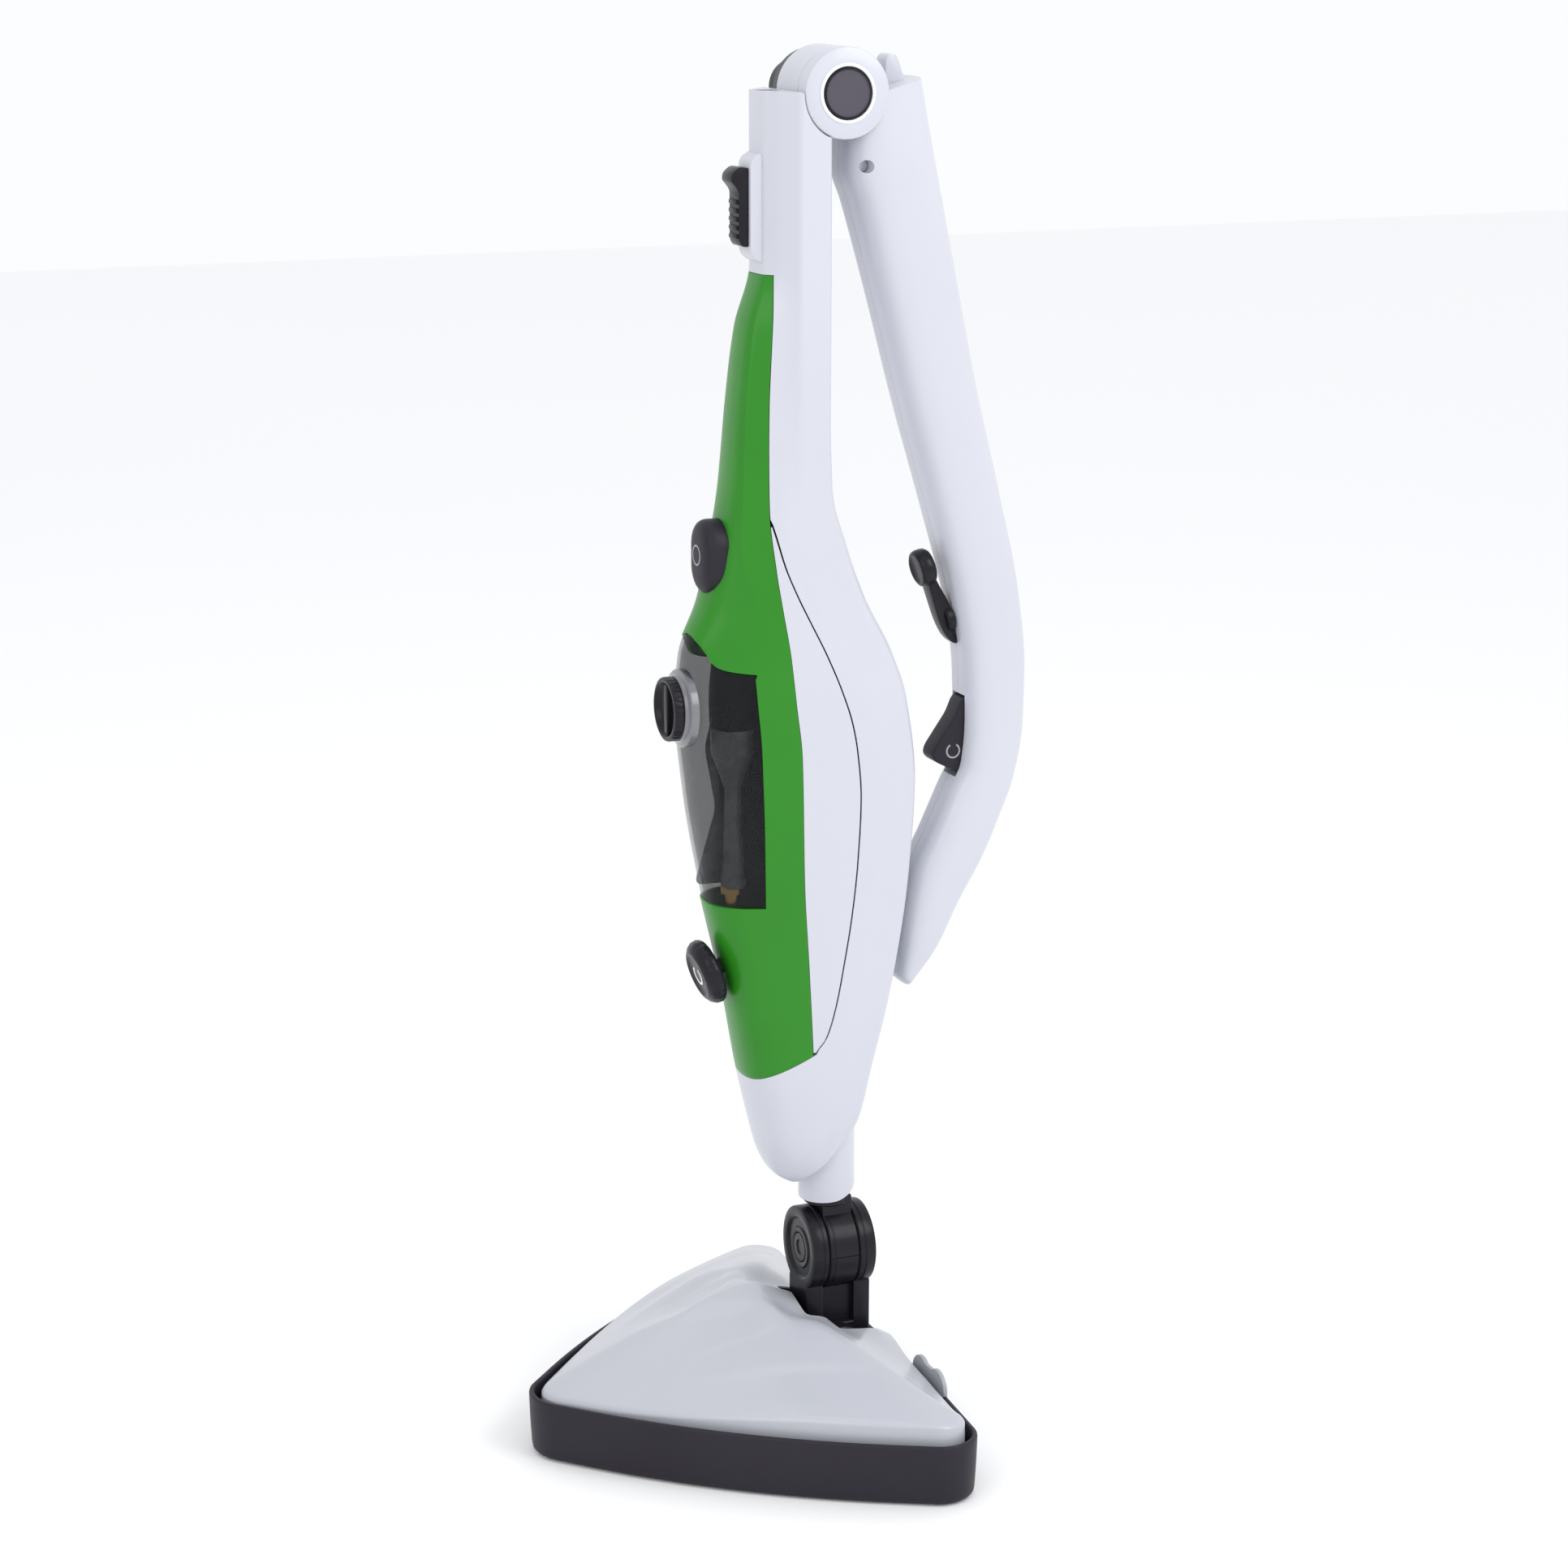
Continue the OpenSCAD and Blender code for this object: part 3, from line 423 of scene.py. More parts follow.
def smoky(name, color):
    """Tinted clear plastic with uneven haze and faint swirls."""
    mat, nodes, links, shader, coords = node_tree(name)
    haze = noise(nodes, links, coords, 45.0, 5.0, (1.0, 1.0, 0.45))
    links.new(ramp(nodes, links, haze,
                   [(0.3, [c * 0.8 for c in color]), (0.72, [min(1, c * 1.35) for c in color])]),
              shader.inputs["Base Color"])
    links.new(spread(nodes, links, haze, 0.03, 0.16), shader.inputs["Roughness"])
    shader.inputs["IOR"].default_value = 1.45
    shader.inputs["Alpha"].default_value = 0.4
    shader.inputs["Specular IOR Level"].default_value = 0.18
    shader.inputs["Coat Weight"].default_value = 0.1
    shader.inputs["Coat Roughness"].default_value = 0.05
    bump(nodes, links, shader, noise(nodes, links, coords, 120.0, 2.0), 0.15, 0.0003)
    MATERIALS[name] = mat


WHITE = (0.555, 0.566, 0.622)
# darker copy of the white for the head cover, which is the same white plastic: painted shade on the low
# parts
SHADED_HEAD_WHITE = (0.455, 0.466, 0.512)
GREEN = (0.024, 0.215, 0.013)
CHARCOAL = (0.0165, 0.0135, 0.0215)
BLACK = (0.010, 0.0095, 0.0135)


def make_materials():
    plastic("white_shell", WHITE, rough=(0.26, 0.36), shift=0.012, grain=1500, depth=0.000012, coat=0.15)
    # the darker white of the head cover is painted shade, not a different plastic
    plastic("head_white_painted_shade", SHADED_HEAD_WHITE, rough=(0.26, 0.36), shift=0.012, grain=1500, depth=0.000012,
            coat=0.15)
    plastic("green_shell", GREEN, rough=(0.24, 0.34), shift=0.05, grain=1500, depth=0.00001, coat=0.08,
            shine=0.22)
    plastic("charcoal", CHARCOAL, rough=(0.42, 0.55), shift=0.12, grain=2200, depth=0.00005, strength=0.5,
            shine=0.26)
    plastic("black_plastic", BLACK, rough=(0.24, 0.36), shift=0.15, grain=1800, depth=0.00003, coat=0.04,
            shine=0.2)
    plastic("cap_face", (0.070, 0.064, 0.084), rough=(0.42, 0.5), shift=0.06, grain=2600, depth=0.00004,
            shine=0.3)
    plastic("light_grey", (0.36, 0.37, 0.39), rough=(0.3, 0.42), shift=0.04, grain=1500)
    plastic("print_grey", (0.30, 0.30, 0.33), rough=(0.35, 0.45), shift=0.05, grain=1500)
    plastic("ring_white", (0.80, 0.805, 0.83), rough=(0.25, 0.33), shift=0.01, grain=1500, coat=0.3)
    # nearly black with strong noise: painted shade inside the tank, with uneven painted light and dark
    # patches
    plastic("tank_painted_shade", (0.007, 0.007, 0.008), rough=(0.35, 0.5), shift=0.7, grain=400, broad=40,
            depth=0.0002,
            shine=0.08)
    plastic("tank_light", (0.16, 0.165, 0.175), rough=(0.2, 0.35), shift=0.25, grain=600, broad=60,
            coat=0.3)
    plastic("plate_alloy", (0.55, 0.56, 0.58), rough=(0.28, 0.45), shift=0.06, grain=700, metal=1.0,
            stretch=(1, 12, 1))
    plastic("brass", (0.72, 0.47, 0.16), rough=(0.18, 0.32), shift=0.08, grain=900, metal=1.0)
    plastic("steel", (0.56, 0.57, 0.6), rough=(0.22, 0.36), shift=0.05, grain=900, metal=1.0,
            stretch=(1, 1, 10))
    plastic("seal_rubber", (0.02, 0.02, 0.022), rough=(0.6, 0.75), shift=0.15, grain=1200, depth=0.00006)
    plastic("hose_rubber", (0.48, 0.48, 0.5), rough=(0.45, 0.6), shift=0.08, grain=900)
    plastic("board", (0.02, 0.12, 0.05), rough=(0.35, 0.5), shift=0.25, grain=500, broad=120)
    smoky("smoky_clear", (0.015, 0.0165, 0.0175))
    plastic("collar_clear", (0.16, 0.165, 0.18), rough=(0.12, 0.25), shift=0.2, grain=700, coat=0.5)


# ---------- stick: body shells, panel and tank ----------

PANEL_TOP = 612.0
LENS_LOW, LENS_HIGH = 210.0, 492.0
WALL = 2.4
LINE = 0.45                       # half of the dark seam between two white shells
EDGE_GAP = 0.15                   # half of the line round the green panel
HUB_Y, HUB_Z = -2.5, 700.0
POCKET_R = 23.1
U_CREASE, U_CORNER, U_REAR = 5.0, 6.0, 7.0
# rims in the side view: y, height
CUP_RIM = [(-70, 192.0), (-52, 194.5), (-47.4, 196.8), (-40.8, 200.0), (-30.8, 204.6), (-20, 210),
           (0, 220)]
BOTTOM_RIM = [(-70, 134.0), (-28, 134.0), (-17.9, 140.0), (-0.8, 154.0), (4, 158.0), (12, 163.0),
              (40, 163.0)]
# tank window: height, y of its side edge, and x, height of its top edge
WINDOW_SIDE = [(291, -46.9), (329, -47.5), (357, -48.4), (377, -49.3), (391, -50.6), (412, -52.5)]
WINDOW_TOP = [(0, 432.5), (5.3, 431.8), (11, 429.0), (15, 423.8), (17.2, 418.6), (19.5, 416.2),
              (24, 414.4), (30, 413.4)]
WINDOW_LOW, WINDOW_CORNER = 291.0, 413.5


class Line:
    """A column line on the body skin: outline place against height, from its y in the side view."""

    def __init__(self, y_of, low, high):
        self.z = np.arange(low, high + 0.5, 1.0)
        self.u = find_u(y_of(self.z), self.z)

    def __call__(self, z):
        return np.interp(z, self.z, self.u)


def constant(u):
    return lambda z: np.full(np.shape(z), float(u))


def flat(height):
    return lambda p: np.full(p.shape[:-1], float(height))


def by_y(table, shift=0.0):
    return lambda p: spline(table, p[..., 1])[:, 0] + shift


def by_x(table, shift=0.0):
    return lambda p: spline(table, p[..., 0])[:, 0] + shift


def even(n):
    return np.linspace(0, 1, n + 1)


def skin(f, rows, u_low, u_high, z_low, z_high, guess):
    """Skin points between two column lines; z_low and z_high give a height for a point."""
    f = np.asarray(f, float)

    def u_of(z):
        a = u_low(z)
        return a + (u_high(z) - a) * f

    ends = []
    for z_of, z0 in ((z_low, guess[0]), (z_high, guess[1])):
        z = np.full(len(f), float(z0))
        for _ in range(5):
            z = z_of(surface(u_of(z), z))
        ends.append(z)
    zs = ends[0] * (1 - np.asarray(rows)[:, None]) + ends[1] * np.asarray(rows)[:, None]
    return np.array([surface(u_of(z), z) for z in zs])


def white_front_y(z):
    """Front edge of the white frame: the seam, then the panel's edge, then straight up the pole."""
    return np.where(z < LENS_HIGH, spline(SEAM, z)[:, 0] + LINE, spline(EDGE, z)[:, 0] + EDGE_GAP)


def pocket_z(y):
    return HUB_Z - np.sqrt(np.clip(POCKET_R ** 2 - (y - HUB_Y) ** 2, 0, None))


def frame_top(cut):
    """The frame above the panel, up to the flat top and the round pocket of the hub."""
    t = even(32)[:, None]
    edge = float(cut(np.array([PANEL_TOP]))[0])
    out = []
    for u0, u1, n in ((0.0, edge, 24), (edge, U_CREASE, 14)):
        u = (u0 + (u1 - u0) * even(n))[None, :]
        out.append(surface(u + 0 * t, PANEL_TOP + (POLE_TOP - PANEL_TOP) * t + 0 * u))
    y0, y1 = (float(surface(np.array([u]), np.array([690.0]))[0, 1]) for u in (U_CREASE, U_CORNER))
    lead = HUB_Y - POCKET_R - y0
    turn = math.acos((HUB_Y - y1) / POCKET_R)
    s = even(26) * (lead + POCKET_R * turn)
    a = np.clip((s - lead) / POCKET_R, 0, turn)
    top_y = np.where(s < lead, y0 + s, HUB_Y - POCKET_R * np.cos(a))
    top_z = np.where(s < lead, POLE_TOP, HUB_Z - POCKET_R * np.sin(a))
    top_u = find_u(top_y, np.full(27, 690.0))
    top_u[0], top_u[-1] = U_CREASE, U_CORNER
    u = (U_CREASE + even(26))[None, :] * (1 - t ** 2) + top_u[None, :] * t ** 2
    out.append(surface(u, PANEL_TOP + (top_z[None, :] - PANEL_TOP) * t))
    u = (U_CORNER + even(14))[None, :]
    top_z = pocket_z(surface(u[0], np.full(15, 680.0))[:, 1])
    out.append(surface(u + 0 * t, PANEL_TOP + (top_z[None, :] - PANEL_TOP) * t))
    return out


def make_main_frame():
    cut, crease, corner, rear = Line(white_front_y, 133,
                                     701), constant(U_CREASE), constant(U_CORNER), constant(U_REAR)
    spans = [(constant(0), cut, 24), (cut, crease, 14), (crease, corner, 26), (corner, rear, 14)]
    rows = np.concatenate([[0, 0.02, 0.05, 0.09, 0.14], np.linspace(0.2, 1, 22)])
    low = [skin(even(n), rows, a, b, by_y(BOTTOM_RIM), flat(LENS_LOW) if k else by_y(CUP_RIM, -EDGE_GAP),
                (145, 205))
           for k, (a, b, n) in enumerate(spans)]
    low[0][:, -1] = low[1][:, 0]
    spine = [skin(even(n), even(134), a, b, flat(LENS_LOW), flat(PANEL_TOP), (LENS_LOW, PANEL_TOP))
             for a, b, n in spans[1:]]
    top = frame_top(cut)
    grids = low + spine + top
    # underside of the cup, in to the neck tube
    rim = np.concatenate([g[0] if k == 0 else g[0][1:] for k, g in enumerate(low)])
    centre = np.array([0.0, -2.0])
    d = rim[:, :2] - centre
    r = np.linalg.norm(d, axis=1)
    inner = np.minimum(15.3, r - 1.0)
    floor = []
    for t in (1.0, 0.7, 0.35, 0.12, 0.0):
        xy = centre + d / r[:, None] * (r * (1 - t) + inner * t)[:, None]
        lift = 1.2 * (1 - (1 - t) ** 2)
        floor.append(np.column_stack([xy, rim[:, 2] + lift]))
    grids.append(np.array(floor))
    curve = np.concatenate([g[-1] if k == 0 else g[-1][1:] for k, g in enumerate(top)])
    obj = sheets("main_frame_shell", grids, caps=[across(curve)])
    thicken(obj, WALL, False)
    bevel(obj, 0.45, 2, 52)
    # slot in the top of the pole that takes the tongue of the handle
    return boolean(obj, [block("tab_slot", (-6.4, -41.1, 688), (6.4, -30.0, 706), 0)], "DIFFERENCE")


def across(curve, steps=12):
    """Straight rows from a curve on the right to its mirror image on the left."""
    return np.array([[(p[0] * k, p[1], p[2]) for p in curve] for k in np.linspace(1, -1, steps + 1)])


def make_side_shell(side):
    front = Line(lambda z: spline(EDGE, z)[:, 0] + EDGE_GAP, 200, 500)
    back = Line(lambda z: np.maximum(spline(SEAM, z)[:, 0] - LINE,
                                     spline(EDGE, z)[:, 0] + EDGE_GAP + 0.1), 200, 500)
    grid = skin(even(20), even(96), front, back, flat(LENS_LOW + 1.2), flat(LENS_HIGH - 4),
                (LENS_LOW, LENS_HIGH))
    if side < 0:
        grid = (grid * [-1, 1, 1])[:, ::-1]
    obj = sheets("side_shell_" + ("right" if side > 0 else "left") + "_skin", [grid], mirrored=False)
    thicken(obj, WALL)
    bevel(obj, 0.4, 2, 52)
    return obj


def window_line():
    side = Line(lambda z: spline(WINDOW_SIDE, z)[:, 0], 291, 412)

    def u(z):
        z = np.asarray(z, float)
        low = 2.2 + (side(291.0) - 2.2) * ease(185, 291, z)
        high = side(412.0) + (2.0 - side(412.0)) * ease(412, 450, z)
        return np.where(z < 291, low, np.where(z > 412, high, side(z)))
    return u


def make_front_panel(window):
    edge = Line(lambda z: spline(EDGE, z)[:, 0] - EDGE_GAP, 180, 620)
    centre = constant(0)
    rim, top = by_y(CUP_RIM, EDGE_GAP), flat(PANEL_TOP - 0.3)
    low, corner = flat(WINDOW_LOW), flat(WINDOW_CORNER)
    arch = by_x(WINDOW_TOP)
    rows_low, rows_mid, rows_top = even(40), even(50), even(80)
    grids = [skin(even(26), rows_low, centre, window, rim, low, (195, WINDOW_LOW)),
             skin(even(14), rows_low, window, edge, rim, low, (200, WINDOW_LOW)),
             skin(even(14), rows_mid, window, edge, low, corner, (WINDOW_LOW, WINDOW_CORNER)),
             skin(even(26), rows_top, centre, window, arch, top, (420, PANEL_TOP)),
             skin(even(14), rows_top, window, edge, corner, top, (WINDOW_CORNER, PANEL_TOP))]
    grids[0][:, -1] = grids[1][:, 0]
    grids[3][:, -1] = grids[4][:, 0]
    end = np.concatenate([grids[3][-1], grids[4][-1][1:]])
    obj = sheets("front_panel_skin", grids, caps=[across(end, 10)])
    thicken(obj, WALL, False)
    bevel(obj, 0.45, 2, 52)
    return obj


def make_tank(window):
    inside = lambda z: window(z) - 0.012
    grid = skin(even(26), even(60), constant(0), inside, flat(WINDOW_LOW + 0.4), by_x(WINDOW_TOP, -0.45),
                (WINDOW_LOW, 420))
    # a little inside the panel, so that the panel's edge frames it
    grid = grid + [0.0, 0.7, 0.0]
    grid[..., 0] *= 0.992
    obj = sheets("water_tank_window", [grid])
    thicken(obj, 1.8)
    bevel(obj, 0.35, 2, 52)
    return obj


# ---------- floor head and glider ----------

TIP, CORNER = (0.0, -145.0), (121.9, 9.0)
PEAK = np.array([0.0, -44.0])
PEAK_Z = 78.0
# top of the skirt: share of the way round from the tip to the rear centre, height
SHOULDER = [(0, 32.5), (0.12, 34), (0.22, 36.5), (0.33, 40), (0.42, 42), (0.56, 42.3), (0.64, 40.5),
            (0.70, 38), (0.76, 38), (0.88, 40), (1, 41.5)]
# height of the cover along the side edge of the slot: y, height
SLOT_EDGE = [(-60, 73.5), (-42, 71.5), (-30, 65.6), (-20, 63), (-11.6, 60.4), (-8.5, 57.6), (-4.6, 53.6),
             (0, 52.2), (8, 51),
             (17, 49.8), (24.4, 46), (34, 40)]
SLOT_X = 22.0


def head_outline(inset, n=120):
    """Right half of the triangular plan, from the front tip to the rear centre, evenly spaced."""
    tip, corner = np.array(TIP), np.array(CORNER)
    u = (corner - tip) / np.linalg.norm(corner - tip)
    side = np.array([u[1], -u[0]])
    rt, rc = 24.0 - inset, 20.0 - inset
    a, b = tip + side * rt, corner + side * rc
    turn = math.degrees(math.atan2(side[1], side[0]))
    pts = [tip + rt * np.array([math.cos(w), math.sin(w)])
           for w in np.radians(np.linspace(-90, turn - 9, 14))]
    pts += [a + (b - a) * t + side * 40 * t * (1 - t) for t in np.linspace(0.05, 0.95, 37)]
    pts += [corner + rc * np.array([math.cos(w), math.sin(w)])
            for w in np.radians(np.linspace(turn + 10, 84, 22))]
    rear = np.array([[74.0, 32.6 - inset], [0.0, 34.0 - inset]])
    start = pts[-1]
    pts += [start + (rear[0] - start) * t for t in np.linspace(0.2, 1, 5)]
    pts += [rear[0] + (rear[1] - rear[0]) * t for t in np.linspace(0.1, 1, 10)]
    pts = np.array(pts)
    s = np.concatenate([[0], np.cumsum(np.linalg.norm(np.diff(pts, axis=0), axis=1))])
    t = np.linspace(0, s[-1], n + 1)
    return np.column_stack([np.interp(t, s, pts[:, 0]), np.interp(t, s, pts[:, 1])])


SKIRT = head_outline(6.5, 240)
SKIRT_ANGLE = np.unwrap(np.arctan2(SKIRT[:, 0], -(SKIRT[:, 1] - PEAK[1])))
SKIRT_REACH = np.linalg.norm(SKIRT - PEAK, axis=1)


def crease_height(x, y):
    """Shallow riser and pressed line that run from the slot toward the tip."""
    out = np.zeros(np.shape(x))
    for (x0, y0, x1, y1), depth, wide, tail in RISERS:
        a, d = np.array([x0, y0]), np.array([x1 - x0, y1 - y0])
        length = np.linalg.norm(d)
        d = d / length
        t = ((x - a[0]) * d[0] + (y - a[1]) * d[1]) / length
        off = (x - a[0]) * -d[1] + (y - a[1]) * d[0]
        fade = ease(-0.15, 0.1, t) * (1 - ease(0.55, 1.05, t))
        out += -depth * fade * ease(-wide / 2, wide / 2, off) * (1 - ease(wide, tail, off))
    return out


# plan line from x, y to x, y; depth, width of the step, distance over which it runs out
RISERS = [((25, -34, -6, -100), 3.4, 11.0, 46.0), ((39, -46, 29, -97), 0.9, 2.6, 26.0),
          ((89, -4, 40, -113), 1.1, 7.0, 24.0)]


def cover_height(x, y):
    """Height of the white cover over a point of the plan, x at or right of the middle."""
    x, y = np.broadcast_arrays(np.asarray(x, float), np.asarray(y, float))
    dx, dy = x - PEAK[0], y - PEAK[1]
    angle = np.arctan2(dx, -dy)
    reach = np.interp(angle, SKIRT_ANGLE, SKIRT_REACH)
    share = np.interp(angle, SKIRT_ANGLE, np.linspace(0, 1, len(SKIRT)))
    s = np.clip(np.hypot(dx, dy) / reach, 0, 1)
    low = spline(SHOULDER, share.ravel())[:, 0].reshape(s.shape)
    back = np.clip(dy, 0, None) / 78
    z = low + (PEAK_Z - low) * (1 - s ** 1.3) - 16 * back * (1 - s) * s
    edge = spline(SLOT_EDGE, y.ravel())[:, 0].reshape(s.shape)
    z = z + crease_height(x, y) * ease(0.0, 0.08, 1 - s)
    hold = np.exp(-((x - SLOT_X) / 17.0) ** 2) * ease(-62, -36, y)
    return z * (1 - hold) + edge * hold


def whole(half):
    """Closed plan outline from its right half."""
    return np.vstack([half, half[-2:0:-1] * [-1, 1]])


def loops(name, rows, low=None, high=None):
    """Closed body through loops with equal point counts; low and high are middles of flat ends."""
    n = len(rows[0])
    verts = [tuple(p) for row in rows for p in row]
    faces = quads(len(rows), n, closed=True)
    for middle, base in ((low, 0), (high, (len(rows) - 1) * n)):
        if middle is not None:
            verts.append(tuple(middle))
            faces += [(base + j, base + (j + 1) % n, len(verts) - 1) for j in range(n)]
    return clean(make(name, verts, faces), 0.005)


def level(outline, z):
    return np.column_stack([outline, np.full(len(outline), float(z))])


CLIP_X, CLIP_Y, CLIP_Z, CLIP_HALF = 63.0, 31.0, 12.0, 20.0


def make_tray():
    wall = [(9, 0), (6, 0), (4.4, 0.4), (2.6, 1.4), (1.5, 2.6), (1.1, 5), (0.4, 18), (0, 31.6),
            (0.2, 32.4), (0.8, 33),
            (2.2, 33), (2.8, 32.4), (3, 31.6), (3, 18), (3, 4.6), (3.4, 3.5), (4.6, 3), (9, 3)]
    rows = [level(whole(head_outline(d, 180)), z) for d, z in wall]
    tray = loops("glider_tray_body", rows, (0, -50, 0), (0, -50, 3))
    reach = CLIP_HALF + 0.4
    notches = [block("notch", (s * CLIP_X - reach, CLIP_Y - 8, 9), (s * CLIP_X + reach, CLIP_Y + 8, 60),
                     0)
               for s in (1, -1)]
    return boolean(tray, notches, "DIFFERENCE")


def make_clip(side):
    """Light grey latch with two round lobes, hinged on a pin in the rear wall of the tray."""
    x0 = side * CLIP_X
    lobes = []
    for c, a0, a1 in ((10, -10, 128), (-10, 52, 190)):
        lobes += [(c + 10 * math.cos(a), 34 + 10 * math.sin(a))
                  for a in np.radians(np.linspace(a0, a1, 16))]
    outline = [(-CLIP_HALF, CLIP_Z - 1.6), (CLIP_HALF, CLIP_Z - 1.6)] + lobes
    plate = prism("clip_plate", [(x0 + a, b) for a, b in outline], CLIP_Y - 1.2, CLIP_Y + 1.2, "xz", 0.55,
                  3, 25)
    dents = [lathe("dent", [(0, -0.9), (4.2, -0.9), (5.5, 0.6), (0, 0.6)],
                   frame_on((x0 + s * 10, CLIP_Y + 1.2, 34), (0, 1, 0)), 48) for s in (1, -1)]
    plate = boolean(plate, dents, "DIFFERENCE")
    pin = lathe("clip_pin", [(0, -22), (1, -22), (1, -20), (2.1, -20), (2.1, 20), (1, 20), (1, 22),
                             (0, 22)],
                frame_on((x0, CLIP_Y, CLIP_Z), (1, 0, 0)), 32)
    word = "right" if side > 0 else "left"
    return boolean(plate, [pin], "UNION"), "glider_clip_" + word


def make_cover():
    around = np.linspace(0, 1, 200)
    half = np.column_stack([np.interp(around, np.linspace(0, 1, len(SKIRT)), SKIRT[:, k])
                            for k in (0, 1)])
    rows = []
    for s in np.concatenate([[0], np.linspace(0.025, 0.97, 64), [0.985]]):
        p = PEAK + (half - PEAK) * s
        rows.append(np.column_stack([p, cover_height(p[:, 0], p[:, 1])]))
    low = cover_height(half[:, 0], half[:, 1])
    for s, drop_by in ((0.994, 0.45), (0.999, 1.2), (1.0, 2.2)):
        rows.append(np.column_stack([PEAK + (half - PEAK) * s, low - drop_by]))
    foot = head_outline(6.0, 240)
    foot = np.column_stack([np.interp(around, np.linspace(0, 1, len(foot)), foot[:, k]) for k in (0, 1)])
    for t in (0.3, 0.65, 1.0):
        rows.append(np.column_stack([half * (1 - t) + foot * t, (low - 2.2) * (1 - t) + 8.0 * t]))
    cover = sheets("head_cover_shell", [np.array(rows)])
    clean(cover, 0.02)
    thicken(cover, 2.6)
    slot = prism("slot", round_corner([(-22, -22), (22, -22), (22, 21), (-22, 21)], 3), 16, 120, "xy", 0)
    notch = prism("notch", [(-22, 18), (22, 18), (22, 60), (-22, 60)], 29, 120, "xy", 0)
    return boolean(cover, [boolean(slot, [notch], "UNION")], "DIFFERENCE")


def build_head():
    finish(make_tray(), "glider", "charcoal", ["glider_tray"])
    for side, body in ((1, "clip_right"), (-1, "clip_left")):
        obj, node = make_clip(side)
        finish(obj, body, "light_grey", [node])
    # the head cover gets the darker copy of the white: painted shade
    finish(make_cover(), "head", "white_shell", ["head_cover"], material="head_white_painted_shade", angle=28)


# ---------- neck joint ----------

ROLL_Z, TILT_Z = 93.0, 41.0
EAR_IN, EAR_OUT, BARREL_HALF = 8.7, 18.1, 8.3
PIN_BORE_R = 4.06
NECK_Y, NECK_R = -2.0, 15.0
NECK_RIM = [(-30, 120.5), (-17, 120.9), (-3, 121.7), (5, 124.0), (13, 128.2)]


def make_yoke():
    """Fork with a front and a rear ear; the front ear has the round recess of the bolt."""
    width = EAR_OUT - EAR_IN
    face = [(0, 0), (21.7, 0), (22.5, 0.8), (22.5, 2.6), (22.15, 2.9), (22.15, 3.5), (22.5, 3.8),
            (22.5, width - 1.3),
            (22.1, width - 0.4), (21.2, width), (17.2, width), (16.4, width - 0.5), (15.6, width - 1.5),
            (11.4, width - 1.5), (10.7, width - 0.7), (8.9, width - 0.7), (8.2, width - 1.1),
            (8.2, width - 3.1),
            (0, width - 3.1)]
    pieces = []
    for s in (-1, 1):
        ear = lathe("ear", face, frame_on((0, s * EAR_IN, ROLL_Z), (0, s, 0)), 128)
        leg = prism("leg", round_corner([(-12.5, TILT_Z), (12.5, TILT_Z), (12.8, 74), (11, 76.5),
                                         (-11, 76.5),
                                         (-12.8, 74)], 1.0), s * EAR_IN if s > 0 else -EAR_OUT,
                    EAR_OUT if s > 0 else -EAR_IN, "xz", 1.0, 3, 40)
        pieces += [ear, leg]
    base = prism("base", [(-EAR_OUT, 35), (EAR_OUT, 35), (EAR_OUT, 50), (EAR_OUT - 4, 50), (8.7, 52),
                          (-8.7, 52),
                          (-EAR_OUT + 4, 50), (-EAR_OUT, 50)], -12.5, 12.5, "yz", 1.0, 3, 40)
    cross = lathe("cross", [(0, -20), (10, -20), (11, -19), (11, 19), (10, 20), (0, 20)],
                  frame_on((0, 0, TILT_Z), (1, 0, 0)), 64)
    room = rod("room", 22.95, -EAR_IN, EAR_IN, frame_on((0, 0, ROLL_Z), (0, 1, 0)), 96)
    bore = rod("bore", PIN_BORE_R, -40, 40, frame_on((0, 0, TILT_Z), (1, 0, 0)))
    web = prism("web", [(-11, 44), (8.5, 44), (8.5, 74), (-11, 74)], -EAR_IN - 2, EAR_IN + 2, "xz", 0.3,
                2, 40)
    yoke = boolean(web, [base] + pieces + [cross], "UNION")
    yoke.name = "yoke_body"
    return boolean(yoke, [room, bore], "DIFFERENCE")


def make_barrel():
    h = BARREL_HALF
    roll = lathe("joint_barrel_body",
                 [(0, -h), (21.7, -h), (22.5, -h + 0.8), (22.5, -h + 2.2), (22.2, -h + 2.5),
                                       (22.2, -h + 3.0), (22.5, -h + 3.3), (22.5, h - 0.8), (21.7, h),
                                       (0, h)],
                 frame_on((0, 0, ROLL_Z), (0, 1, 0)), 128)
    stem = prism("stem", round_corner([(-10.5, 93), (10.5, 93), (10.5, 120), (10.5, 123), (-10.5, 123),
                                       (-10.5, 120)], 0.8), -h, h, "xz", 1.0, 3, 40)
    post = lathe("post", [(0, 118), (11.6, 118), (12.4, 118.8), (12.4, 160), (0, 160)],
                 frame_on((0, NECK_Y, 0), (0, 0, 1)), 64)
    bore = rod("bore", PIN_BORE_R, -40, 40, frame_on((0, 0, ROLL_Z), (0, 1, 0)))
    line = block("line", (22.0, -h - 1, 92.75), (30, h + 1, 93.25), 0)
    steam = rod("steam", 4.5, 117, 165, frame_on((0, NECK_Y, 0), (0, 0, 1)), 40)
    return boolean(boolean(roll, [stem, post], "UNION"), [bore, line, steam], "DIFFERENCE")


def make_neck(around=96):
    rows = []
    for r, lift in ((12.6, 0.0), (13.2, 0.0), (14.4, 0.0), (14.85, 0.2), (NECK_R, 0.7), (NECK_R, None),
                    (12.6, None)):
        ring = []
        for j in range(around):
            a = 2 * math.pi * j / around
            x, y = r * math.cos(a), NECK_Y + r * math.sin(a)
            z = 166.0 if lift is None else float(spline(NECK_RIM, np.array([y]))[0, 0]) + lift
            ring.append((x, y, z))
        rows.append(np.array(ring))
    return loops("neck_tube_shell", rows + [rows[0]])


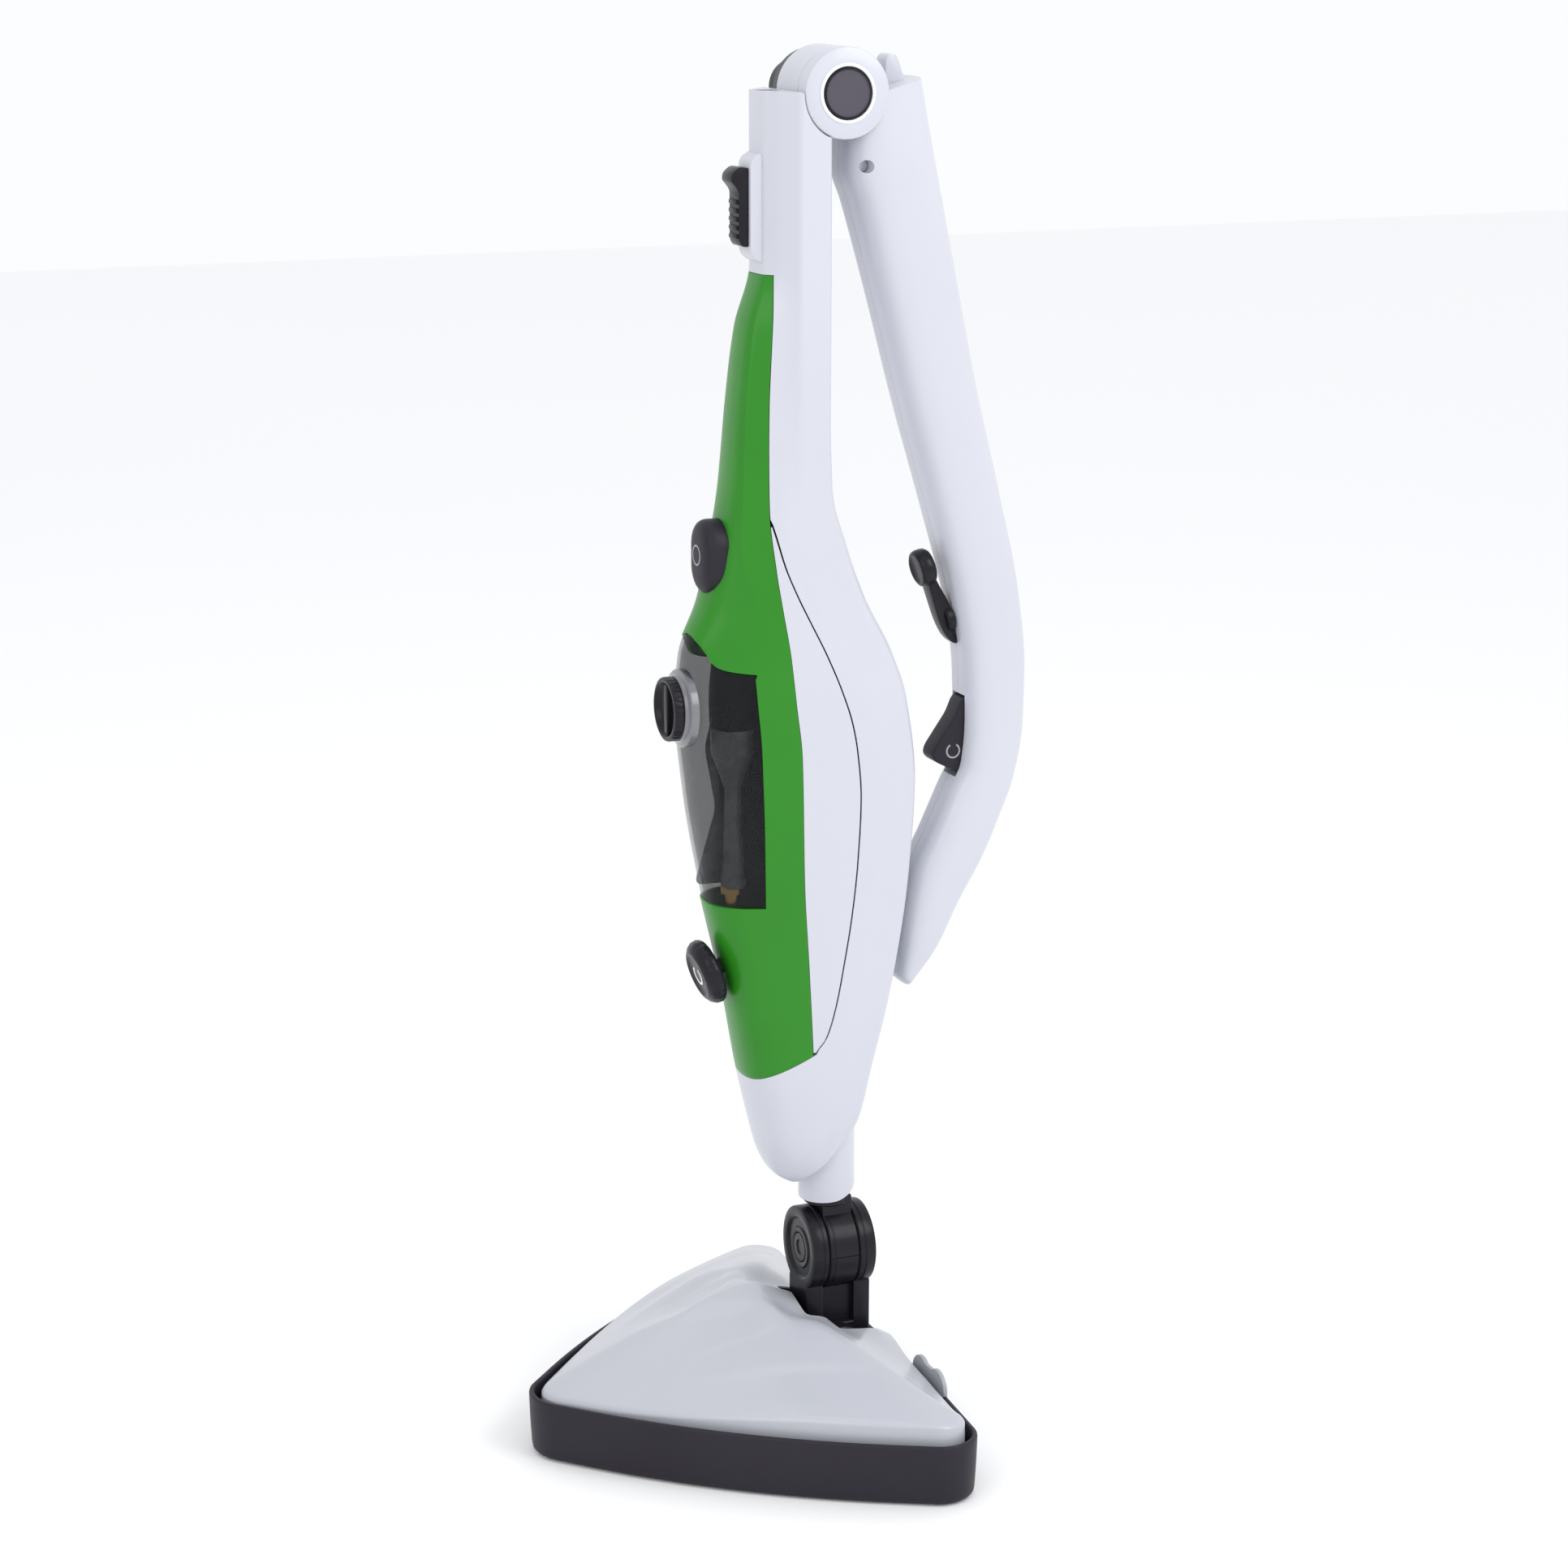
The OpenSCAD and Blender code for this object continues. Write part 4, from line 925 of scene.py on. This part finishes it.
def build_joint():
    finish(make_yoke(), "yoke", "black_plastic", ["joint_yoke"])
    finish(make_barrel(), "stick", "black_plastic", ["joint_barrel"])
    finish(make_neck(), "stick", "white_shell", ["neck_tube"])
    for s, word in ((-1, "front"), (1, "rear")):
        head = lathe("joint_bolt_" + word,
                     [(0, 0), (7.9, 0), (7.9, 1.7), (7.4, 2.2), (4.4, 2.2), (3.8, 1.5), (0, 1.5)],
                     frame_on((0, s * (EAR_OUT - 2.9), ROLL_Z), (0, s, 0)), 64)
        finish(head, "stick", "black_plastic", ["joint_bolt"] if s < 0 else ())
    finish(rod("joint_bolt_shank", 3.9, -15.2, 15.2, frame_on((0, 0, ROLL_Z), (0, 1, 0))), "stick",
           "steel")


# ---------- fold joint and handle ----------

HUB_R, HUB_HALF, EAR_X = 22.4, 14.0, 24.5
# the folded handle: inner y, z, outer y, z, half width
HANDLE = [(3.6, 697.5, 42.4, 706.6, 24.5), (2.9, 662.1, 49.3, 673.5, 24.5), (8.3, 644.7, 53.2, 656, 23.5),
          (19.6, 604.7, 62.3, 615.3, 21), (37.1, 540, 76.6, 549.8, 19.5), (52.6, 487.8, 90, 496.8, 18.5),
          (66.2, 437.5, 102.3, 443, 17.5), (71.6, 402, 106.8, 402.5, 17), (72.4, 376, 106.2, 371.5, 17),
          (70.6, 354, 101.2, 343, 17), (63.6, 338.6, 94, 323.4, 16.5), (54, 318, 84.6, 302.4, 16.5),
          (42.8, 294, 70.6, 278, 16), (37.6, 264, 57.5, 253.5, 15), (36.2, 243, 43.5, 236, 12)]
# its half section: share of the half width, share of the depth from the inner edge
SECTION = [(0, 0), (0.5, 0), (0.86, 0.12), (1, 0.33), (1, 0.64), (0.9, 0.86), (0.55, 0.985), (0, 1)]
HANDLE_GAP = 0.12
FAR_EAR_R = 20.4


def on_hub(x):
    return frame_on((x, HUB_Y, HUB_Z), (1, 0, 0))


def section_curve(n=9):
    """The half section with its corners rounded."""
    p = np.array(SECTION)
    out = [p[0]]
    for a, b, c in zip(p[:-2], p[1:-1], p[2:]):
        s, e = b + (a - b) * 0.42, b + (c - b) * 0.42
        out += [s * (1 - t) ** 2 + b * 2 * t * (1 - t) + e * t * t for t in np.linspace(0, 1, n // 2 + 1)]
    out.append(p[-1])
    return np.array(out)


def handle_rows():
    """Half sections of the handle from its ear end to its tip."""
    s = np.array(HANDLE, float)
    mid = (s[:, 0:2] + s[:, 2:4]) / 2
    along = np.concatenate([[0], np.cumsum(np.linalg.norm(np.diff(mid, axis=0), axis=1))])
    at = np.concatenate([np.linspace(0, along[1], 7)[:-1], np.linspace(along[1], along[-1], 110)])
    fine = spline(list(zip(along, *s.T)), at)
    curve = section_curve()
    rows = []
    for y0, z0, y1, z1, w in fine:
        low, high = np.array([y0, z0]), np.array([y1, z1])
        yz = low + (high - low) * curve[:, 1:2]
        rows.append(np.column_stack([curve[:, 0] * w, yz]))
    # round off the tip
    tip, back = rows[-1], rows[-1] - rows[-8]
    back = back.mean(axis=0) / np.linalg.norm(back.mean(axis=0))
    centre = tip.mean(axis=0) * [0, 1, 1]
    for shrink, push in ((0.97, 0.9), (0.88, 2.0), (0.74, 2.8), (0.5, 3.4)):
        rows.append(centre + (tip - centre) * shrink + back * push)
    return rows


def make_handle(side):
    rows = [r + [HANDLE_GAP, 0, 0] * (r[:, :1] < 1) for r in handle_rows()]
    n = len(rows[0])
    verts = [tuple(p * [side, 1, 1]) for r in rows for p in r]
    faces = quads(len(rows), n, closed=True)
    faces += [tuple(range(n)), tuple(range((len(rows) - 1) * n, len(rows) * n))[::-1]]
    arm = clean(make("handle_arm", verts, faces), 0.003)
    x, r = HUB_HALF + 0.4, HUB_R if side > 0 else FAR_EAR_R
    ear = lathe("ear", [(0, x), (r - 0.7, x), (r, x + 0.7), (r, EAR_X - 1.2), (r - 0.35, EAR_X - 0.4),
                        (r - 1.2, EAR_X + 0.05), (0, EAR_X + 0.05)],
                frame_on((0, HUB_Y, HUB_Z), (side, 0, 0)), 144)
    arm = boolean(arm, [ear], "UNION")
    outward = frame_on((0, HUB_Y, HUB_Z), (side, 0, 0))
    tools = [rod("room", HUB_R + 0.5, -x, x, on_hub(0), 144),
             rod("recess", 13.1, 22.4 if side > 0 else 24.7, 40, outward, 96),
             rod("bore", 5.03, -30, 30, on_hub(0)),
             block("trigger_room", (-7.3, 50, 345.6), (7.3, 84, 388.8), 0)]
    screws = [(9.5, 664)] if side > 0 else [(52, 560), (78, 470)]
    tools += [rod("screw_hole", 3.2, 12.4, 40, frame_on((0, y, z), (side, 0, 0)), 40) for y, z in screws]
    tools.append(block("tab_room", (-6.3, 24.4, 694.5), (6.3, 33.6, 720), 0))
    return boolean(arm, tools, "DIFFERENCE")


def make_cap(name, side, start, end, radius):
    """Round cap of the fold pivot: a dark rim around a slightly sunk face."""
    rise = end - start
    profile = [(0, 0), (radius - 0.4, 0), (radius, 0.4), (radius, rise - 0.7), (radius - 0.5, rise),
               (radius - 1.25, rise), (radius - 1.6, rise - 0.5), (0, rise - 0.5)]
    return lathe(name, profile, frame_on((side * start, HUB_Y, HUB_Z), (side, 0, 0)), 128)


def cap_faces(obj, side, inside):
    """Gives the sunk face of a cap its own grey."""
    obj.data.materials.append(MATERIALS["cap_face"])
    outer = max(side * v.co.x for v in obj.data.vertices) - 0.0008
    for p in obj.data.polygons:
        c = p.center
        if side * c.x > outer and math.hypot(c.y - HUB_Y * MM, c.z - HUB_Z * MM) < inside * MM:
            p.material_index = 1


def blacken_far_ear(obj):
    """The far ear is faced with a black ring."""
    obj.data.materials.append(MATERIALS["black_plastic"])
    for p in obj.data.polygons:
        c = p.center / MM
        if c.x < -HUB_HALF and math.hypot(c.y - HUB_Y, c.z - HUB_Z) < FAR_EAR_R + 0.1:
            p.material_index = 1


def make_tab():
    """Tongue at the end of the handle that enters the pole when the handle is up."""
    side = round_corner([(25.4, 699), (25.9, 715.4), (27.4, 717.4), (30.6, 717.7), (32.0, 716.2),
                         (36.0, 705.0), (36.2, 699)],
                        [0.3, 1.0, 1.0, 1.0, 1.0, 0.8, 0.3], 4)
    return prism("fold_tab_body", side, -5.9, 5.9, "yz", 0.6, 3, 40)


def make_trigger():
    outline = round_corner([(74.5, 388), (71, 386.5), (67.5, 378), (55.5, 361), (54.6, 357), (57, 354),
                            (70, 347.5),
                            (76, 349), (78, 362), (82.5, 380), (81, 387)], 3.0, 6)
    return prism("handle_trigger_body", outline, -6.8, 6.8, "yz", 1.5, 4, 35)


def build_handle():
    x = HUB_HALF
    barrel = lathe("hub_barrel_body",
                   [(0, -x), (HUB_R - 0.9, -x), (HUB_R, -x + 0.9), (HUB_R, x - 0.9), (HUB_R - 0.9, x),
                                       (0, x)], on_hub(0), 144)
    tongue = block("tongue", (-13, -24, 660), (13, -12, 695), 1.0)
    bore = rod("bore", 5.06, -30, 30, on_hub(0))
    barrel = boolean(boolean(barrel, [tongue], "UNION"), [bore], "DIFFERENCE")
    finish(barrel, "stick", "white_shell", ["hub_barrel"])
    for side, word in ((1, "right"), (-1, "left")):
        shell = finish(make_handle(side), "handle", "white_shell", ["handle_" + word], angle=30)
        if side < 0:
            blacken_far_ear(shell)
    finish(make_tab(), "handle", "white_shell", ["fold_tab"])
    for side, word, start, end, radius in ((1, "right", 22.6, 25.2, 12.7),
                                           (-1, "left", 24.8, 45.0, 14.0)):
        cap = make_cap("pivot_cap_%s_body" % word, side, start, end, radius)
        finish(cap, "handle", "black_plastic", ["pivot_cap_" + word])
        cap_faces(cap, side, radius - 1.4)
    ring = ring_lathe("pivot_ring", [(13.0, 24.0), (14.7, 24.0), (14.7, 24.9), (14.3, 25.25),
                                     (13.3, 25.25), (13.0, 24.9)],
                      on_hub(0), 128)
    finish(ring, "handle", "white_shell", material="ring_white")
    finish(make_trigger(), "trigger", "charcoal", ["handle_trigger"])


# ---------- controls ----------

BUTTON_Z, KNOB_AT, KNOB_TILT = 471.0, (0.0, -63.0, 255.0), 18.0
CAP_AT = (0.0, -83.7, 394.0)
HOOK_AT = Vector((0, 67.6, 430))
HOOK_OUT = Vector((0, -0.970296, -0.241922))
HOOK_UP = Vector((0, -0.241922, 0.970296))


def stadium(inset, n=20):
    """Upright oval in x, z: a circle of 14 mm radius drawn out by 10 mm."""
    r, out = 14.0 - inset, []
    for centre, a0 in ((5.0, 0.0), (-5.0, math.pi)):
        out += [(r * math.cos(a0 + math.pi * k / n), centre + r * math.sin(a0 + math.pi * k / n))
                for k in range(n + 1)]
    return out


def make_button():
    rows = []
    for inset, y in ((3.0, -58.5), (0.4, -58.5), (0, -59), (0, -68.2), (0.35, -69.8), (1.2, -71.2),
                     (2.6, -72.3),
                     (4.6, -73.1), (7.4, -73.6), (10.6, -73.8), (12.8, -73.85)):
        rows.append(np.array([(x, y, BUTTON_Z + z) for x, z in stadium(inset)]))
    return loops("power_button_body", rows, (0, -58.5, BUTTON_Z), (0, -73.85, BUTTON_Z))


def icon_ring(name, at, radius, width, gap=0.0, around=72, rise=0.16):
    """Printed ring, with an optional gap at its top."""
    turn = [gap / 2 + (2 * math.pi - gap) * k / around + math.pi / 2
            for k in range(around + (1 if gap else 0))]
    verts, n = [], len(turn)
    for r, h in ((radius - width / 2, -0.3), (radius - width / 2, rise), (radius + width / 2, rise),
                 (radius + width / 2, -0.3)):
        verts += [at @ Vector((r * math.cos(a), r * math.sin(a), h)) for a in turn]
    faces = []
    for i in range(4):
        for j in range(n - 1 if gap else n):
            a, b, k = i * n, ((i + 1) % 4) * n, (j + 1) % n
            faces.append((a + j, a + k, b + k, b + j))
    if gap:
        faces += [(0, n, 2 * n, 3 * n), (n - 1, 2 * n - 1, 3 * n - 1, 4 * n - 1)]
    return clean(make(name, verts, faces), 0.005)


def make_knob(at):
    flutes = lambda k, a: 1.0 - (0.018 if 3 <= k <= 6 else 0.0) * (0.5 + 0.5 * math.cos(14 * a)) ** 3
    profile = [(0, -14), (4, -14), (4, 2.6), (15.4, 3.0), (16.6, 3.8), (17.4, 5.4), (17.1, 8.4),
               (15.6, 10.6), (13.2, 12.2),
               (12.4, 12.5), (11.4, 12.3), (10.4, 11.6), (0, 11.9)]
    return lathe("steam_knob_body", profile, at, 168, flutes)


def make_filler_cap():
    out = frame_on(CAP_AT, (0, -1, 0))
    ridges = lambda k, a: 1.0 - (0.02 if 5 <= k <= 6 else 0.0) * (0.5 + 0.5 * math.cos(30 * a)) ** 2
    profile = [(0, -4.5), (12.8, -4.5), (12.8, 3.0), (15.9, 3.1), (16.4, 3.6), (16.5, 4.2), (16.5, 6.9),
               (16.2, 7.7), (15.4, 8.1),
               (14.3, 8.1), (13.7, 7.6), (13.2, 5.4), (12.6, 4.9), (0, 4.7)]
    cap = lathe("filler_cap_body", profile, out, 180, ridges)
    bar = prism("bar", round_corner([(-12.6, -2.2), (12.6, -2.2), (12.6, 2.2), (-12.6, 2.2)], 1.2), 4.0,
                7.4, "xy", 0.5, 2, 40)
    for v in bar.data.vertices:
        v.co = out @ Vector((v.co.y / MM, v.co.x / MM, v.co.z / MM)) * MM
    return boolean(cap, [clean(bar, 0.001)], "UNION")


def make_collar():
    profile = [(13.0, -3.6), (13.0, 2.2), (13.6, 2.7), (16.6, 2.7), (17.2, 2.2), (17.6, 0.9), (19.4, 0.5),
               (20.0, -0.1), (20.0, -3.6)]
    return ring_lathe("filler_collar", profile, frame_on(CAP_AT, (0, -1, 0)), 128)


def make_slider():
    side = round_corner([(-47.9, 664), (-52.5, 664.6), (-56.4, 661.4), (-57, 657.8), (-55.0, 655.6),
                         (-52.8, 652.6),
                         (-52.8, 628.4), (-51, 625.5), (-47.9, 625.5)],
                         [0.3, 1.8, 1.6, 1.4, 1.0, 1.6, 2.0, 1.6, 0.3], 4)
    body = prism("release_slider_body", side, -6.5, 6.5, "yz", 1.1, 3, 40)
    ribs = [prism("rib", round_corner([(-53.8, 629.4 + k * 4.2), (-53.8, 631.6 + k * 4.2),
                                       (-51, 631.9 + k * 4.2),
                                       (-51, 629.1 + k * 4.2)], 0.6), -5.2, 5.2, "yz", 0.35, 2, 40)
                                       for k in range(5)]
    stem = block("stem", (-3.6, -48.6, 638), (3.6, -37.5, 656), 0.3)
    catch = block("catch", (-6.5, -38.6, 638), (6.5, -35.6, 656), 0.3)
    return boolean(body, ribs + [stem, catch], "UNION")


def make_boss():
    side = round_corner([(-38, 672), (-41.5, 671.5), (-46.6, 668.4), (-47.5, 664.5), (-47.5, 624.5),
                         (-46.6, 621.2), (-42.5, 617.6),
                         (-38, 617)], 2.2, 5)
    boss = prism("slider_boss", side, -8.5, 8.5, "yz", 1.4, 3, 40)
    slot = block("slot", (-4.2, -60, 630), (4.2, -30, 662), 0)
    return boolean(boss, [slot], "DIFFERENCE")


def hook_place(x, up, out):
    return HOOK_AT + HOOK_UP * up + HOOK_OUT * out + Vector((x, 0, 0))


def make_hook():
    """Cord hook: an arm against the handle that carries a raised round lobe at its upper end."""
    arm_side = round_corner([(-14, 1.2), (-13.4, 3.4), (-9, 6.6), (0, 8.8), (19, 10.2), (33, 11),
                             (33, 7.4), (22, 5.4),
                             (9, 1.2)], [0.8, 1.5, 4, 6, 3, 1.5, 1.5, 6, 3], 5)
    n, verts = len(arm_side), []
    for s in (-1, 1):
        for up, out in arm_side:
            half = 3.6 + 1.2 * max(0.0, min(1.0, (up + 14) / 34))
            verts.append(hook_place(s * half, up, out))
    faces = [tuple(range(n)), tuple(range(n, 2 * n))[::-1]]
    faces += [(i, i + n, (i + 1) % n + n, (i + 1) % n) for i in range(n)]
    arm = bevel(clean(make("cord_hook_body", verts, faces), 0.001), 1.0, 3, 35)
    profile = [(0, 5.0), (6.4, 5.0), (8.6, 5.6), (9.6, 7.0), (9.9, 9.0), (9.8, 11.4), (9.1, 13.0),
               (8.0, 13.6), (7.2, 13.5),
               (6.5, 13.0), (0, 12.8)]
    lobe = lathe("lobe", profile, frame_on(hook_place(0, 30, 0), HOOK_OUT), 96)
    base = lathe("base", [(0, 0.8), (6.9, 0.8), (7.5, 1.4), (7.5, 3.8), (6.6, 4.8), (0, 4.8)],
                 frame_on(HOOK_AT, HOOK_OUT), 72)
    return boolean(arm, [lobe, base], "UNION")


def make_tank_core():
    """Dark inner shapes of the tank seen through its smoky wall: a rear wall that is painted shade inside
    the body, nearly black with uneven painted light and dark patches, then a dip funnel and a rib.
    """
    # the rear wall: a nearly black sheet that is painted shade inside the body
    back = skin(even(20), even(40), constant(0), constant(3.2), flat(292), flat(428), (292, 428))
    back = back * [0.80, 1, 1] + [0, 19, 0]
    wall = thicken(sheets("tank_shade_wall", [back]), 1.2)
    funnel = lathe("tank_core_funnel",
                   [(0, 300), (6.4, 300), (6.6, 303), (5.0, 318), (4.4, 352), (9.5, 366), (11.5, 372),
                                        (11.5, 384), (10.6, 384), (0, 380)],
                   frame_on((10, -58.5, 0), (0, 0, 1)), 64)
    rib = prism("tank_core_rib", round_corner([(-76, 300), (-52, 300), (-52, 402), (-62, 402), (-70, 372),
                                               (-64, 340)], 5), -1, 0.2,
                "yz", 0.3, 2, 40)
    return wall, funnel, rib


def build_controls():
    finish(make_button(), "power_button", "charcoal", ["power_button"], angle=50)
    finish(icon_ring("power_icon", frame_on((0, -73.75, BUTTON_Z + 1), (0, -1, 0)), 4.9, 0.9),
           "power_button", "light_grey",
           material="print_grey")
    out = Vector((0, -math.cos(math.radians(KNOB_TILT)), -math.sin(math.radians(KNOB_TILT))))
    finish(make_knob(frame_on(KNOB_AT, out)), "steam_knob", "black_plastic", ["steam_knob"], angle=40)
    finish(icon_ring("knob_icon", frame_on(KNOB_AT, out) @ Matrix.Translation((0, 0, 11.85)), 4.6, 1.3,
                     1.2),
           "steam_knob", "light_grey", material="ring_white")
    finish(make_filler_cap(), "filler_cap", "black_plastic", ["tank_cap"], angle=40)
    finish(make_collar(), "stick", "smoky_clear", material="collar_clear")
    finish(make_slider(), "fold_slider", "black_plastic", ["release_slider"])
    finish(make_boss(), "stick", "white_shell")
    finish(make_hook(), "hook", "black_plastic", ["cord_hook"], angle=40)
    # the rear wall takes the nearly black painted-shade material, the funnel and rib a light grey
    for piece in make_tank_core():
        finish(piece, "stick", "smoky_clear", material="tank_painted_shade" if piece.name == "tank_shade_wall"
               else "tank_light")
    finish(icon_ring("trigger_icon", frame_on((6.75, 66.4, 359.6), (1, 0, 0), (0, 0, 1)), 3.6, 0.9, 1.0),
           "trigger", "light_grey",
           material="print_grey")


# ---------- studio ----------

def make_floor():
    bpy.ops.mesh.primitive_plane_add(size=1)
    floor = bpy.context.active_object
    floor.name = "floor"
    floor.scale = (12, 12, 1)
    mat, nodes, links, shader, coords = node_tree("floor_paper")
    links.new(ramp(nodes, links, noise(nodes, links, coords, 3.0),
                   [(0.3, (0.94, 0.94, 0.945)), (0.7, (0.96, 0.96, 0.965))]),
              shader.inputs["Base Color"])
    shader.inputs["Roughness"].default_value = 0.8
    floor.data.materials.append(mat)


# name, place, what it faces, size, power in watts
LAMPS = [("key", (1.05, 0.75, 1.35), (0, 0, 0.62), (0.9, 0.9), 9.5),
         ("front", (1.2, -1.5, 1.25), (0, 0, 0.55), (1.0, 1.2), 5.5),
         ("top", (0.1, -0.2, 2.3), (0, 0, 0.3), (1.4, 1.4), 3)]


def area_light(name, place, target, size, power):
    data = bpy.data.lights.new(name, "AREA")
    data.shape, data.size, data.size_y = "RECTANGLE", size[0], size[1]
    data.energy = power
    light = bpy.data.objects.new(name, data)
    bpy.context.scene.collection.objects.link(light)
    light.location = place
    light.rotation_euler = (Vector(target) - Vector(place)).to_track_quat("-Z", "Y").to_euler()


def make_studio():
    world = bpy.data.worlds.new("studio")
    bpy.context.scene.world = world
    world.use_nodes = True
    back = world.node_tree.nodes["Background"]
    back.inputs["Color"].default_value = (0.97, 0.98, 1.0, 1.0)
    back.inputs["Strength"].default_value = 1.0
    for lamp in LAMPS:
        area_light(*lamp)
    bpy.context.scene.view_settings.view_transform = "Standard"


# where the photo was taken from, in metres, and its right and up directions, all from a camera fit
CAMERA_PLACE = Vector((1.65807, -0.70377, 0.80027))
CAMERA_RIGHT, CAMERA_UP = Vector((0.37825, 0.92570, 0)), Vector((-0.22619, 0.09242, 0.96969))
LENS_MM, SENSOR_MM = 82.24, 36.0


def make_camera():
    data = bpy.data.cameras.new("camera")
    data.lens, data.sensor_width = LENS_MM, SENSOR_MM
    data.clip_start, data.clip_end = 0.05, 50
    camera = bpy.data.objects.new("camera", data)
    bpy.context.scene.collection.objects.link(camera)
    back = CAMERA_RIGHT.cross(CAMERA_UP)
    m = Matrix.Identity(4)
    for i, v in enumerate((CAMERA_RIGHT, CAMERA_UP, back, CAMERA_PLACE)):
        for k in range(3):
            m[k][i] = v[k]
    camera.matrix_world = m
    bpy.context.scene.camera = camera


# ---------- the whole mop ----------

def dress_cad():
    """Each CAD node that stays gets its slot's material."""
    slots = {s["node"]: s["material_slot"] for s in frame["record"]["subparts"]}
    for name, obj in frame["nodes"].items():
        obj.data.materials.clear()
        obj.data.materials.append(MATERIALS[slots[name]])


def build_stick():
    window = window_line()
    finish(make_main_frame(), "stick", "white_shell", ["main_frame"])
    for side, word in ((1, "right"), (-1, "left")):
        finish(make_side_shell(side), "stick", "white_shell", ["side_shell_" + word])
    finish(make_front_panel(window), "stick", "green_shell", ["front_panel"])
    finish(make_tank(window), "stick", "smoky_clear", ["water_tank"])


make_materials()
dress_cad()
build_stick()
build_head()
build_joint()
build_handle()
build_controls()
make_floor()
make_studio()
make_camera()
